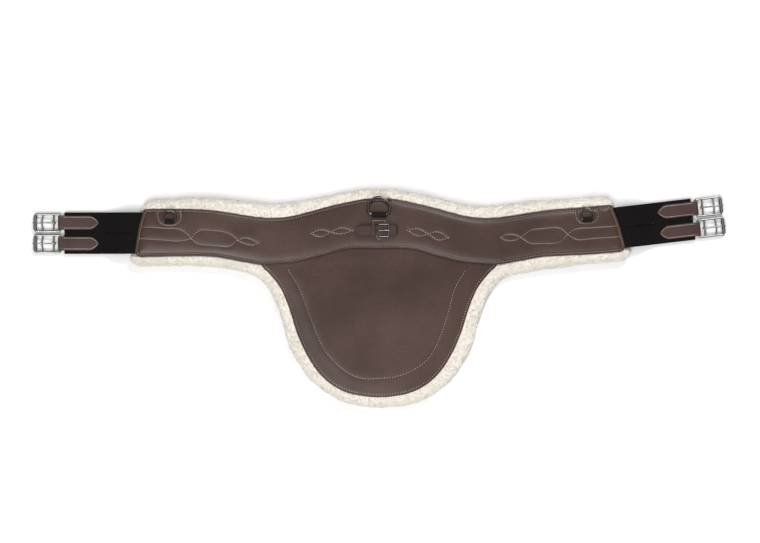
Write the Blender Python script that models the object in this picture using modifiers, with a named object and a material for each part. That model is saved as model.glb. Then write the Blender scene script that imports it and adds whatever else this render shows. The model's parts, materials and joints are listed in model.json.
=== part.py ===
"""A saddle girth with a belly guard, lying flat on its fleece with the leather side up.

Metres, +Z up, +X along the girth. The origin is on the ground under the middle of the bounding box.
Every piece is first placed in flat coordinates (u along the girth, v across it, mirror symmetric
about u = 0). The right wing then curves gently towards +Y: lay() turns flat places into real ones.
"""

import math

import bmesh
import bpy
from mathutils import Vector

MM = 0.001

# Where the flat coordinates' zero stands, so that the origin is under the middle of the part.
ORIGIN_SHIFT = (-0.68 * MM, 118.5 * MM)

# The right wing's bend: an arc between two stations, straight on both sides of it.
BEND_START = 285 * MM
BEND_END = 428 * MM
BEND_ANGLE = math.radians(6.7)
BEND_RADIUS = (BEND_END - BEND_START) / BEND_ANGLE

# Layers from the ground up: the height of each one's lower and upper face.
FLEECE_Z = (0.0, 14.0 * MM)
LINING_Z = (14.3 * MM, 15.3 * MM)
WEB_Z = (15.6 * MM, 17.6 * MM)
BELLY_PADDING_Z = (15.6 * MM, 18.6 * MM)
BELLY_GUARD_Z = (18.9 * MM, 21.1 * MM)
GIRTH_PADDING_Z = (18.9 * MM, 24.6 * MM)
GIRTH_PANEL_Z = (24.9 * MM, 27.4 * MM)
GAP = 0.3 * MM

# The girth's slanted ends.
EDGE_U = 439.4 * MM
EDGE_SLANT = 0.218

# The end straps: an elastic, its leather chape and its roller buckle, twice at each end.
STRAP_V = 19.1 * MM
ELASTIC_WIDTH = 37.4 * MM
ELASTIC_THICKNESS = 3.0 * MM
ELASTIC_Z = 17.1 * MM
ELASTIC_END_U = 577 * MM
SEWN_END_U = 398 * MM
PIVOT_BEYOND_EDGE = 8 * MM
SEWN_END_GAP = 2.0 * MM
ELASTIC_START_GAP = 0.8 * MM
DROP_START_U = 458 * MM
DROP_END_U = 508 * MM

BUCKLE_Z = 4.8 * MM
REAR_BAR_U = 584.5 * MM
FRAME_LENGTH = 46.2 * MM
FRAME_HALF_WIDTH = 15.5 * MM
FRAME_WIRE = 1.8 * MM
FRAME_CORNER = 2.2 * MM
TONGUE_BAR_X = 12.1 * MM
TONGUE_BAR_WIRE = 1.5 * MM
BOW_BAR_X = 31.0 * MM
BOW_BAR_RISE = 2.7 * MM
BOW_BAR_WIRE = 1.3 * MM
TONGUE_WIRE = 1.35 * MM
ROLLER_RADIUS = 3.3 * MM
ROLLER_BORE = 2.3 * MM
ROLLER_LENGTH = 26.6 * MM
RUNNING_GAP = 0.35 * MM

CHAPE_WIDTH = 25.4 * MM
CHAPE_THICKNESS = 2.0 * MM
CHAPE_LOOP = 3.3 * MM
CHAPE_TOP_LENGTH = 71.1 * MM
CHAPE_BACK_LENGTH = 60 * MM
CHAPE_POINT = 17 * MM

# D-rings: half width of the wire's centre line, half length of the bar, height of the widest
# place over the bar, height of the arc over that, wire radius, tab width.
CENTER_RING = dict(half=20 * MM, bar=14.2 * MM, low=11 * MM, arc=20 * MM, wire=2.1 * MM, tab=26.4 * MM)
SIDE_RING = dict(half=11.3 * MM, bar=9.5 * MM, low=7 * MM, arc=11.7 * MM, wire=1.4 * MM, tab=18 * MM)
CENTER_RING_V = 34.5 * MM
SIDE_RING_U = 382 * MM
SIDE_RING_V = 22.5 * MM
TAB_THICKNESS = 1.2 * MM
TAB_CLEARANCE = 0.4 * MM
TAB_FOOT_Z = 25.2 * MM
RING_TILT = math.radians(-3)

# The small buckled strap at the middle of the girth.
STRAP_HALF_WIDTH = 8.5 * MM
STRAP_THICKNESS = 1.4 * MM
STRAP_CENTER_V = 4.7 * MM
STRAP_BAR_Z = 35.1 * MM
STRAP_LOOP = 2.2 * MM
STRAP_LOW_Z = 29.9 * MM
STRAP_FRAME_LENGTH = 17.5 * MM
STRAP_FRAME_HALF = 11.05 * MM
STRAP_FRAME_WIRE = 1.2 * MM
STRAP_FRAME_TILT = math.radians(12)
STRAP_TONGUE_WIRE = 1.0 * MM
STRAP_POINT = 9 * MM

# Flat outlines in millimetres, right half only, from the middle of the upper edge clockwise.
GIRTH_HALF = [
    (0, 63.5), (30, 61.5), (55, 56.5), (93, 48), (130, 37.8), (160, 30.6), (185, 27.5),
    (210, 27.6), (240, 31.3), (280, 37.8), (320, 42.4), (360, 43.7), (400, 43.8), (423, 43.4),
    (429.5, 41.8), (432, 36), (445, -26), (445.5, -36), (438, -43.2), (424, -43.6),
    (400, -43.3), (360, -42.6), (320, -42.6), (300, -43.6), (280, -46.8), (260, -50.5),
    (240, -54.3), (218, -57.3), (195, -56.8), (170, -54.8), (150, -52.5), (130, -48),
    (110, -43), (93, -38.4), (75, -32.5), (58, -29.4), (35, -27.8), (0, -28.4),
]
GUARD_EDGE_HALF = [
    (214, -61), (200, -75), (182, -98), (169.5, -124), (160, -151.6), (149.5, -184.5),
    (131, -224.7), (113, -252), (95.5, -270.4), (77, -283.2), (59, -291.4), (36, -297),
    (0, -300.4),
]
GUARD_TUCK_HALF = [(0, -6), (58, -8), (93, -16), (130, -26), (170, -33), (200, -37), (219, -47)]
BELLY_PADDING_HALF = [
    (0, -23.5), (55, -28), (93, -37), (130, -47), (160, -54), (186, -62), (184, -76),
    (168, -100), (157, -130), (144, -168), (132, -202), (104, -247), (72, -272), (40, -284.5),
    (0, -290),
]
FLEECE_HALF = [
    (0, 79.5), (30, 77.5), (60, 71), (93, 63.5), (130, 54), (160, 47.5), (185, 45), (210, 45.5),
    (240, 49.5), (280, 55.5), (320, 59.5), (360, 60.5), (405, 60.5), (424, 58), (433, 50),
    (435.5, 42), (453, -38), (453.5, -50), (443, -58.5), (420, -60), (390, -60), (355, -59.5),
    (320, -60.5), (290, -63), (262, -67.5), (240, -73), (224, -80), (208, -94), (193, -119),
    (178.5, -155), (161.5, -213), (142, -245), (124.5, -267), (107, -281), (89, -293.5),
    (71, -303), (54, -309), (30, -314), (0, -316.5),
]
MIDDLE_LINE_HALF = [
    (0, 17.5), (55, 13.6), (93, 4.8), (130, -5.1), (160, -11.6), (200, -14.6), (240, -11.5),
    (280, -4.5), (320, -0.5), (360, 0.1), (395, 0),
]
PATCH_HALF = [(0, 24.7), (13.4, 24.7), (12.6, 12), (8.5, -3), (0.8, -17.4), (0, -17.8)]

LEATHER = ("leather", (0.095, 0.062, 0.055), 0.45, 0.0)
CHAPE_LEATHER = ("chape leather", (0.11, 0.072, 0.065), 0.45, 0.0)
LINING = ("lining leather", (0.30, 0.22, 0.16), 0.7, 0.0)
FLEECE = ("fleece", (0.72, 0.67, 0.58), 0.95, 0.0)
FOAM = ("foam", (0.25, 0.25, 0.26), 0.9, 0.0)
WEBBING = ("webbing", (0.04, 0.04, 0.045), 0.8, 0.0)
ELASTIC = ("elastic", (0.012, 0.01, 0.011), 0.85, 0.0)
STEEL = ("steel", (0.62, 0.62, 0.62), 0.22, 1.0)
DARK_STEEL = ("dark steel", (0.16, 0.16, 0.15), 0.3, 1.0)


def lay(u, v):
    """The place of flat point (u, v) on the real girth, whose right wing is bent."""
    turn = bend_at(u)
    x, y = (u, 0.0) if u <= BEND_START else (
        BEND_START + BEND_RADIUS * math.sin(turn), BEND_RADIUS * (1 - math.cos(turn)))
    beyond = max(0.0, u - BEND_END)
    x += beyond * math.cos(turn) - v * math.sin(turn)
    y += beyond * math.sin(turn) + v * math.cos(turn)
    return x + ORIGIN_SHIFT[0], y + ORIGIN_SHIFT[1]


def bend_at(u):
    """How far the girth has turned at station u."""
    return min(max(0.0, u - BEND_START), BEND_END - BEND_START) / BEND_RADIUS


def mirrored(half):
    """The whole closed outline, in metres, from its right half in millimetres."""
    right = [(u * MM, v * MM) for u, v in half]
    left = [(-u, v) for u, v in reversed(right) if u > 0]
    return right + left


def offset(outline, distance):
    """A clockwise outline moved outwards by distance."""
    moved = []
    for i, (u, v) in enumerate(outline):
        before = outline[i - 1]
        after = outline[(i + 1) % len(outline)]
        along = Vector((after[0] - before[0], after[1] - before[1])).normalized()
        moved.append((u - along.y * distance, v + along.x * distance))
    return moved


def surface(look):
    """The Principled material of a look: name, colour, roughness and metallic value."""
    name, colour, roughness, metallic = look
    material = bpy.data.materials.get(name) or bpy.data.materials.new(name)
    material.use_nodes = True
    shader = material.node_tree.nodes["Principled BSDF"]
    shader.inputs["Base Color"].default_value = (*colour, 1)
    shader.inputs["Roughness"].default_value = roughness
    shader.inputs["Metallic"].default_value = metallic
    return material


def add(name, data, look, collection="saddle_girth", parent=None, location=(0, 0, 0), rotation=(0, 0, 0)):
    """A new object of this mesh or curve, in its collection and under its parent."""
    obj = bpy.data.objects.new(name, data)
    bpy.data.collections[collection].objects.link(obj)
    if look and not data.materials:
        data.materials.append(surface(look))
    obj.parent = parent
    obj.location = location
    obj.rotation_euler = rotation
    return obj


def to_mesh(obj):
    """Turns a curve object into a closed mesh object of the same name and place."""
    bpy.context.view_layer.update()
    evaluated = obj.evaluated_get(bpy.context.evaluated_depsgraph_get())
    mesh = bpy.data.meshes.new_from_object(evaluated)
    weld(mesh)
    name = obj.name
    new = bpy.data.objects.new(name, mesh)
    new.parent = obj.parent
    new.matrix_world = obj.matrix_world
    for collection in obj.users_collection:
        collection.objects.link(new)
    bpy.data.objects.remove(obj)
    new.name = name
    return new


def weld(mesh):
    bm = bmesh.new()
    bm.from_mesh(mesh)
    bmesh.ops.remove_doubles(bm, verts=bm.verts, dist=0.00001)
    bmesh.ops.recalc_face_normals(bm, faces=bm.faces)
    bm.to_mesh(mesh)
    bm.free()


def plate(name, outline, heights, look, smooth=True, collection="saddle_girth"):
    """A flat piece: an outline of real (x, y) points, solid between two heights."""
    curve = bpy.data.curves.new(name, "CURVE")
    curve.dimensions = "2D"
    curve.fill_mode = "BOTH"
    curve.extrude = (heights[1] - heights[0]) / 2
    curve.resolution_u = 3
    if smooth:
        spline = curve.splines.new("BEZIER")
        spline.bezier_points.add(len(outline) - 1)
        for point, (x, y) in zip(spline.bezier_points, outline):
            point.co = (x, y, 0)
            point.handle_left_type = point.handle_right_type = "AUTO"
    else:
        spline = curve.splines.new("POLY")
        spline.points.add(len(outline) - 1)
        for point, (x, y) in zip(spline.points, outline):
            point.co = (x, y, 0, 1)
    spline.use_cyclic_u = True
    return add(name, curve, look, collection, location=(0, 0, (heights[0] + heights[1]) / 2))


def wire_curve(name, points, radius, closed=False, radii=None):
    """A round wire through local points, as a curve with eight sides."""
    curve = bpy.data.curves.new(name, "CURVE")
    curve.dimensions = "3D"
    curve.bevel_depth = radius
    curve.bevel_resolution = 2
    curve.use_fill_caps = True
    spline = curve.splines.new("POLY")
    spline.points.add(len(points) - 1)
    for i, (point, place) in enumerate(zip(spline.points, points)):
        point.co = (*place, 1)
        point.radius = radii[i] if radii else 1.0
    spline.use_cyclic_u = closed
    return curve


def arc(center, radius, start, end, steps):
    """Points in a plane along an arc; angles in degrees, both ends included."""
    angles = [math.radians(start + (end - start) * i / steps) for i in range(steps + 1)]
    return [(center[0] + radius * math.cos(a), center[1] + radius * math.sin(a)) for a in angles]


def strip_mesh(name, route, half_width, lean=0.0):
    """A strap's middle surface: route is its (x, z) side view and y runs across it.

    half_width(s) gives half the width at s along the route. lean slants the starting edge.
    """
    lengths = [0.0]
    for (x0, z0), (x1, z1) in zip(route, route[1:]):
        lengths.append(lengths[-1] + math.hypot(x1 - x0, z1 - z0))
    bm = bmesh.new()
    bmesh.ops.create_grid(bm, x_segments=len(route) - 1, y_segments=1, size=0.5)
    for vert in bm.verts:
        i = round((vert.co.x + 0.5) * (len(route) - 1))
        y = 2 * vert.co.y * half_width(lengths[i])
        fade = 1 - lengths[i] / lengths[-1]
        vert.co = (route[i][0] + lean * y * fade, y, route[i][1])
    mesh = bpy.data.meshes.new(name)
    bm.to_mesh(mesh)
    bm.free()
    mesh.shade_smooth()
    return mesh


def thicken(obj, thickness):
    solidify = obj.modifiers.new("Solidify", "SOLIDIFY")
    solidify.thickness = thickness
    solidify.offset = 0
    solidify.use_even_offset = True
    return obj


def cut(obj, cutter, operation="DIFFERENCE"):
    boolean = obj.modifiers.new(operation.title(), "BOOLEAN")
    boolean.operation = operation
    boolean.solver = "EXACT"
    boolean.object = cutter
    cutter.hide_render = True
    cutter.display_type = "WIRE"


def box_cutter(name, center, size, rotation=0.0):
    bpy.ops.mesh.primitive_cube_add(size=1)
    cube = bpy.context.object
    cube.name = name
    cube.data.transform(cube.matrix_basis)
    cube.scale = size
    cube.location = center
    cube.rotation_euler = (0, 0, rotation)
    for collection in cube.users_collection:
        collection.objects.unlink(cube)
    bpy.data.collections["cutters"].objects.link(cube)
    return cube


def empty(name, location, rotation, parent=None):
    obj = bpy.data.objects.new(name, None)
    bpy.data.collections["saddle_girth"].objects.link(obj)
    obj.parent = parent
    obj.location = location
    obj.rotation_euler = rotation
    return obj


def real(outline):
    """Flat points laid out, with extra points left to the curve."""
    return [lay(u, v) for u, v in outline]


def panel_layers():
    """The flat layers of the girth and its belly guard."""
    girth = mirrored(GIRTH_HALF)
    below_waist = [p for p in GIRTH_HALF if p[1] > 0 or p[0] >= 240]
    backing = mirrored(below_waist + [(226, -57.5)] + GUARD_EDGE_HALF)
    guard = mirrored(GUARD_TUCK_HALF + GUARD_EDGE_HALF)

    plate("fleece_lining", real(mirrored(FLEECE_HALF)), FLEECE_Z, FLEECE)
    plate("lining_leather", real(offset(backing, -1.2 * MM)), LINING_Z, LINING)
    plate("belly_padding", real(mirrored(BELLY_PADDING_HALF)), BELLY_PADDING_Z, FOAM)
    plate("belly_guard", real(guard), BELLY_GUARD_Z, LEATHER)
    for name, side in (("upper", 1), ("lower", -1)):
        core_web("core_web_" + name, side * STRAP_V)

    padding = to_mesh(plate("girth_padding", real(offset(girth, -5 * MM)), GIRTH_PADDING_Z, FOAM))
    step = (BELLY_GUARD_Z[0] - 1 * MM, BELLY_GUARD_Z[1] + GAP)
    room = to_mesh(plate("guard_room", real(offset(guard, 1 * MM)), step, None, collection="cutters"))
    cut(padding, room)

    panel = to_mesh(plate("girth_panel", real(girth), GIRTH_PANEL_Z, LEATHER))
    for name, ring, u, v in ring_places():
        slit(panel, name, ring, u, v)


def core_web(name, side):
    """A webbing strap through the whole girth, which ties the elastics of both ends together."""
    half = ELASTIC_WIDTH / 2 - 0.7 * MM
    line = [(u * MM, v * MM) for u, v in MIDDLE_LINE_HALF]
    line = [(-u, v) for u, v in reversed(line) if u > 0] + line
    upper = [(u, v + side + half) for u, v in line]
    lower = [(u, v + side - half) for u, v in reversed(line)]
    plate(name, real(upper + lower), WEB_Z, WEBBING, smooth=False)


def ring_places():
    """Each D-ring's name, sizes and the flat place of the middle of its bar."""
    return (
        ("center", CENTER_RING, 0.0, CENTER_RING_V),
        ("left", SIDE_RING, -SIDE_RING_U, SIDE_RING_V),
        ("right", SIDE_RING, SIDE_RING_U, SIDE_RING_V),
    )


def tab_loop(ring):
    """Radius of the middle of a tab's loop round its ring's bar."""
    return ring["wire"] + TAB_CLEARANCE + TAB_THICKNESS / 2


def slit_distance(ring):
    """How far below the bar the tab goes through the leather."""
    return tab_loop(ring) + 2.2 * MM


def slit(panel, name, ring, u, v):
    """The slit in the leather through which a D-ring's tab passes."""
    x, y = lay(u, v - slit_distance(ring))
    middle = (GIRTH_PANEL_Z[0] + GIRTH_PANEL_Z[1]) / 2
    size = (ring["tab"] + 0.8 * MM, 2 * TAB_THICKNESS + 1.1 * MM, 10 * MM)
    cut(panel, box_cutter("slit_" + name, (x, y, middle), size, bend_at(u)))


def d_ring(name, ring, u, v):
    """A D-ring lying on the leather, and the webbing tab that holds its bar."""
    height = GIRTH_PANEL_Z[1] + GAP + TAB_THICKNESS + TAB_CLEARANCE + ring["wire"]
    x, y = lay(u, v)
    holder = empty(name + "_ring_bar", (x, y, height), (0, 0, bend_at(u)))

    quarter = [math.radians(90 * i / 5) for i in range(6)]
    flank = ring["half"] - ring["bar"]
    right = [(ring["bar"] + flank * math.sin(a), ring["low"] * (1 - math.cos(a)), 0) for a in quarter]
    dome = [math.radians(180 * i / 14) for i in range(1, 14)]
    top = [(ring["half"] * math.cos(a), ring["low"] + ring["arc"] * math.sin(a), 0) for a in dome]
    left = [(-a, b, c) for a, b, c in reversed(right)]
    curve = wire_curve(name + "_d_ring", right + top + left, ring["wire"], closed=True)
    add(name + "_d_ring", curve, DARK_STEEL, parent=holder, rotation=(RING_TILT, 0, 0))

    loop = tab_loop(ring)
    reach = slit_distance(ring)
    foot = TAB_FOOT_Z - height
    route = [(0.8 * MM - reach, foot), (0.8 * MM - reach, -loop - 0.5 * MM), (1.6 * MM - reach, -loop)]
    route += arc((0, 0), loop, -90, 90, 8)
    route += [(1.6 * MM - reach, 0.8 * loop), (-0.8 * MM - reach, 0), (-0.8 * MM - reach, foot)]
    mesh = strip_mesh(name + "_ring_tab", route, lambda s: ring["tab"] / 2)
    tab = add(name + "_ring_tab", mesh, WEBBING, parent=holder, rotation=(0, 0, math.radians(90)))
    thicken(tab, TAB_THICKNESS)


def buckle_frame(name, length, half, wire, corner, bars=()):
    """A rectangular wire frame from its rear bar at x = 0, with any bars across it joined on."""
    path = arc((length - corner, half - corner), corner, 90, 0, 3)
    path += arc((length - corner, corner - half), corner, 0, -90, 3)
    path += arc((corner, corner - half), corner, -90, -180, 3)
    path += arc((corner, half - corner), corner, 180, 90, 3)
    points = [(x, y, 0) for x, y in path]
    frame = to_mesh(add(name, wire_curve(name, points, wire, closed=True), STEEL))
    for number, (x, rise, bar_wire) in enumerate(bars):
        steps = [i / 3 - 1 for i in range(7)]
        bar = [(x + rise * (1 - t * t), t * half, 0) for t in steps]
        bar_name = f"{name}_bar_{number}"
        curve = wire_curve(bar_name, bar, bar_wire)
        cut(frame, to_mesh(add(bar_name, curve, STEEL, "cutters")), "UNION")
    if bars:
        bake(frame)
    return frame.data


def bake(obj):
    """Applies an object's modifiers to its mesh, so that other objects can share it."""
    bpy.context.view_layer.update()
    evaluated = obj.evaluated_get(bpy.context.evaluated_depsgraph_get())
    mesh = bpy.data.meshes.new_from_object(evaluated)
    obj.modifiers.clear()
    obj.data = mesh


def tongue_curve(name, bar_wire, wire, tip):
    """A tongue: an eye round its bar, then a tapering shank through the points of tip."""
    eye = arc((0, 0), bar_wire + RUNNING_GAP + wire, -20, -270, 10)
    points = [(x, 0, z) for x, z in eye + tip]
    radii = [1.0] * (len(points) - 1) + [0.55]
    return wire_curve(name, points, wire, radii=radii)


def roller_mesh():
    """A short tube, turned about its own Z axis."""
    half = ROLLER_LENGTH / 2
    corners = [(ROLLER_RADIUS, half), (ROLLER_RADIUS, -half), (ROLLER_BORE, -half), (ROLLER_BORE, half)]
    mesh = bpy.data.meshes.new("roller")
    edges = [(i, (i + 1) % 4) for i in range(4)]
    mesh.from_pydata([(x, 0, z) for x, z in corners], edges, [])
    return mesh


def turn(obj, steps):
    screw = obj.modifiers.new("Screw", "SCREW")
    screw.steps = steps
    screw.render_steps = steps
    screw.axis = "Z"
    screw.use_merge_vertices = True
    screw.merge_threshold = 0.00001
    return obj


def chape_width(s):
    """Half a chape's width, s along from its pointed tip."""
    return CHAPE_WIDTH / 2 * min(1.0, 0.1 + 0.9 * (s / CHAPE_POINT) ** 0.75)


def smooth_step(t):
    t = min(max(t, 0.0), 1.0)
    return t * t * (3 - 2 * t)


def elastic_routes(pivot_u):
    """Side views of the elastic from its pivot out, and of its sewn end inside the girth."""
    stations = [pivot_u - ELASTIC_START_GAP, pivot_u + 3 * MM]
    stations += [DROP_START_U + (DROP_END_U - DROP_START_U) * i / 8 for i in range(9)]
    stations.append(ELASTIC_END_U)
    drop = ELASTIC_Z - BUCKLE_Z
    span = DROP_END_U - DROP_START_U
    outer = [(u - pivot_u, -drop * smooth_step((u - DROP_START_U) / span)) for u in stations]
    sewn = [(-SEWN_END_GAP, 0.0), (SEWN_END_U - pivot_u, 0.0)]
    return outer, sewn


def end_straps(side_name, side, shared):
    """The two straps at one end of the girth, in the straight part's own frame."""
    turned = BEND_ANGLE if side > 0 else math.pi
    place = Vector(lay(BEND_END, 0)) if side > 0 else Vector(lay(0, 0))
    if side > 0:
        place -= Vector((math.cos(turned), math.sin(turned))) * BEND_END
    end = empty("end_" + side_name, (*place, 0), (0, 0, turned))
    for level_name, level in (("upper", 1), ("lower", -1)):
        strap(f"{level_name}_{side_name}", end, level * side * STRAP_V, level * STRAP_V, side, shared)


def strap(label, end, y, v, side, shared):
    """One elastic with its sewn end, chape, buckle frame, roller and tongue."""
    lean = -EDGE_SLANT * side
    pivot_u = EDGE_U - EDGE_SLANT * v + PIVOT_BEYOND_EDGE
    outer, sewn = elastic_routes(pivot_u)
    axis = math.atan(EDGE_SLANT) * side
    flex = empty("flex_" + label, (pivot_u, y, ELASTIC_Z), (0, 0, axis), end)
    for name, route in (("elastic_", outer), ("elastic_sewn_end_", sewn)):
        mesh = strip_mesh(name + label, route, lambda s: ELASTIC_WIDTH / 2, lean)
        piece = add(name + label, mesh, ELASTIC, parent=flex, rotation=(0, 0, -axis))
        thicken(piece, ELASTIC_THICKNESS)

    buckle = empty("buckle_" + label, (REAR_BAR_U, y, BUCKLE_Z), (0, 0, 0), end)
    thicken(add("chape_" + label, shared["chape"], None, parent=buckle), CHAPE_THICKNESS)
    add("buckle_frame_" + label, shared["frame"], None, parent=buckle)
    front = (FRAME_LENGTH, 0, 0)
    roller = add("buckle_roller_" + label, shared["roller"], None, parent=buckle, location=front)
    roller.rotation_euler = (math.radians(90), 0, 0)
    turn(roller, 16)
    add("buckle_tongue_" + label, shared["tongue"], None, parent=buckle, location=(TONGUE_BAR_X, 0, 0))


def shared_shapes():
    """The shapes that all four end straps share."""
    bars = ((TONGUE_BAR_X, 0.0, TONGUE_BAR_WIRE), (BOW_BAR_X, BOW_BAR_RISE, BOW_BAR_WIRE))
    frame = buckle_frame("frame_shape", FRAME_LENGTH, FRAME_HALF_WIDTH, FRAME_WIRE, FRAME_CORNER, bars)
    bpy.data.objects.remove(bpy.data.objects["frame_shape"])

    top = [(-CHAPE_TOP_LENGTH + d * MM, CHAPE_LOOP) for d in (0, 1.5, 4, 7, 10.5, 14, 17, 40)]
    back = [(-CHAPE_BACK_LENGTH, -CHAPE_LOOP)]
    route = top + arc((0, 0), CHAPE_LOOP, 90, -90, 8) + back
    chape = strip_mesh("chape_shape", route, chape_width)
    chape.materials.append(surface(CHAPE_LEATHER))

    shank_x = FRAME_LENGTH - TONGUE_BAR_X
    rest_z = ROLLER_RADIUS + GAP + TONGUE_WIRE
    tip = [(shank_x * 0.55, rest_z * 0.9), (shank_x, rest_z), (shank_x + 3.8 * MM, rest_z - 0.9 * MM)]
    tongue = tongue_curve("tongue_shape", TONGUE_BAR_WIRE, TONGUE_WIRE, tip)
    tongue.materials.append(surface(STEEL))
    roller = roller_mesh()
    roller.materials.append(surface(STEEL))
    return dict(frame=frame, chape=chape, tongue=tongue, roller=roller)


def center_patch():
    """The pointed leather patch sewn on below the centre ring."""
    heights = (GIRTH_PANEL_Z[1] + GAP, GIRTH_PANEL_Z[1] + GAP + 1.2 * MM)
    plate("center_patch", real(mirrored(PATCH_HALF)), heights, LEATHER, smooth=False)


def center_strap():
    """The small strap: folded flat round itself, buckled, with its end through a keeper."""
    x, y = lay(0.0, STRAP_CENTER_V)
    bar = empty("center_buckle_bar", (x, y, STRAP_BAR_Z), (0, 0, 0))
    low = STRAP_LOW_Z - STRAP_BAR_Z
    left_fold = (-STRAP_LOOP + low) / 2
    right_fold = 2.7 * MM
    route = [(-6.2 * MM, -0.35 * MM), (-4.4 * MM, 0.5 * MM), (-2.3 * MM, 1.8 * MM)]
    route += arc((0, 0), STRAP_LOOP, 100, -90, 8)
    route += arc((-33 * MM, left_fold), -STRAP_LOOP - left_fold, 90, 270, 5)
    route += arc((30 * MM, low + right_fold), right_fold, -90, 90, 6)
    billet = [(24, 0.5), (17, 1.2), (12, 2.1), (6, 3.5), (2, 4.1), (-2, 4.0), (-5, 3.2), (-8.5, 1.9)]
    billet += [(-14.5, 1.0), (-25, 0.4), (-34, 0.0), (-38, -0.1), (-41, -0.2), (-43, -0.3)]
    route += [(a * MM, b * MM) for a, b in billet]
    total = sum(math.dist(a, b) for a, b in zip(route, route[1:]))

    def half_width(s):
        return STRAP_HALF_WIDTH * min(1.0, 0.15 + 0.85 * ((total - s) / STRAP_POINT) ** 0.7)

    strap_mesh = strip_mesh("center_strap", route, half_width)
    piece = thicken(add("center_strap", strap_mesh, LEATHER, parent=bar), STRAP_THICKNESS)
    tongue_room = (x, y, STRAP_BAR_Z - 0.3 * MM)
    cut(piece, box_cutter("tongue_room", tongue_room, (8.4 * MM, 3.0 * MM, 7.2 * MM)))
    hole_place = (x + 3.4 * MM, y, STRAP_BAR_Z + 4.6 * MM)
    cut(piece, box_cutter("billet_hole", hole_place, (14 * MM, 3.0 * MM, 5.0 * MM)))

    tilt = (0, -STRAP_FRAME_TILT, 0)
    mesh = buckle_frame("center_frame_shape", STRAP_FRAME_LENGTH, STRAP_FRAME_HALF,
                        STRAP_FRAME_WIRE, 1.6 * MM)
    bpy.data.objects.remove(bpy.data.objects["center_frame_shape"])
    add("center_buckle_frame", mesh, STEEL, parent=bar, rotation=tilt)
    over = STRAP_FRAME_WIRE + GAP + STRAP_TONGUE_WIRE
    tip = [(STRAP_FRAME_LENGTH, over), (STRAP_FRAME_LENGTH + 1.6 * MM, over - 0.3 * MM)]
    tongue = tongue_curve("center_buckle_tongue", STRAP_FRAME_WIRE, STRAP_TONGUE_WIRE, tip)
    add("center_buckle_tongue", tongue, STEEL, parent=bar, rotation=tilt)
    keeper(x, y)


def keeper(x, y):
    """The leather loop that holds the strap's free end down."""
    inner_half = STRAP_HALF_WIDTH + 0.4 * MM
    floor = STRAP_LOW_Z + STRAP_THICKNESS / 2 + GAP
    wall = 1.0 * MM
    inner = (floor + wall, STRAP_BAR_Z + 3.7 * MM)
    outer = (floor, inner[1] + wall)
    curve = bpy.data.curves.new("center_keeper", "CURVE")
    curve.dimensions = "2D"
    curve.fill_mode = "BOTH"
    curve.extrude = 3.65 * MM
    for half, (low, high) in ((inner_half + wall, outer), (inner_half, inner)):
        spline = curve.splines.new("POLY")
        corners = ((half, low), (half, high), (-half, high), (-half, low))
        spline.points.add(3)
        for point, (a, b) in zip(spline.points, corners):
            point.co = (a, b, 0, 1)
        spline.use_cyclic_u = True
    place = (x - 10.8 * MM, y, 0)
    add("center_keeper", curve, LEATHER, location=place, rotation=(math.radians(90), 0, math.radians(90)))


def build():
    for obj in list(bpy.data.objects):
        bpy.data.objects.remove(obj)
    for name in ("saddle_girth", "cutters"):
        bpy.context.scene.collection.children.link(bpy.data.collections.new(name))
    panel_layers()
    for place in ring_places():
        d_ring(*place)
    center_patch()
    center_strap()
    shared = shared_shapes()
    end_straps("left", -1, shared)
    end_straps("right", 1, shared)


build()
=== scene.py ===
"""The looks of a shaped saddle girth with a belly guard, lying on its fleece with the leather side up."""

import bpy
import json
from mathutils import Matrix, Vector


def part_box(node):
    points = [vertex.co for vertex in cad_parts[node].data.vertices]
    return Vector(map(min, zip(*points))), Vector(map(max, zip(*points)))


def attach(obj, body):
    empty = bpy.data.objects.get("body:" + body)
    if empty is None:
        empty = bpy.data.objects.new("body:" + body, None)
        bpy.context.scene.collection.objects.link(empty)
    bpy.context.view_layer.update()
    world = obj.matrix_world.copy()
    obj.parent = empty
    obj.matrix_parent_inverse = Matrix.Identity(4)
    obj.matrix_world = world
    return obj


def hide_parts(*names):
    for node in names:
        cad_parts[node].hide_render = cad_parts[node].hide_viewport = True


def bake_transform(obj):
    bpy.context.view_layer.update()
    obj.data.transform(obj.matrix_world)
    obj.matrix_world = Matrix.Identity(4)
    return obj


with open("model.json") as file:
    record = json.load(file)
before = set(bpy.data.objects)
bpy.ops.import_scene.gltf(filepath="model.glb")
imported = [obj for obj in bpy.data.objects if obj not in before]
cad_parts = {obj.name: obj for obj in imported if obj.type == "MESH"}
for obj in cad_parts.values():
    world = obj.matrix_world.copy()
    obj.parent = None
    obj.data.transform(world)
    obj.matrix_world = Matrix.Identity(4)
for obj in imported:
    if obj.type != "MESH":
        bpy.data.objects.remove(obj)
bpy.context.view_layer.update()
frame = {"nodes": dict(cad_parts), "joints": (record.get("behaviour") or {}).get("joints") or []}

import json
from math import cos, dist, pi, radians, sin

import bpy
import numpy as np
from mathutils import Matrix, Vector, noise
from mathutils.geometry import delaunay_2d_cdt
from mathutils.kdtree import KDTree

MM = 0.001
LAYER_GAP = 0.3 * MM
QUARTER_TURN = Matrix.Rotation(radians(90), 4, "Z")
JOINTS = {joint["name"]: joint for joint in frame["joints"]}

# The flat layout, in millimetres: u along the girth, v across it. The fleece is wider than its solid.
ORIGIN_SHIFT = np.array([-0.68, 118.5]) * MM
BEND_START = 285 * MM
BEND_END = 428 * MM
BEND_ANGLE = radians(6.7)
BEND_RADIUS = (BEND_END - BEND_START) / BEND_ANGLE

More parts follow.
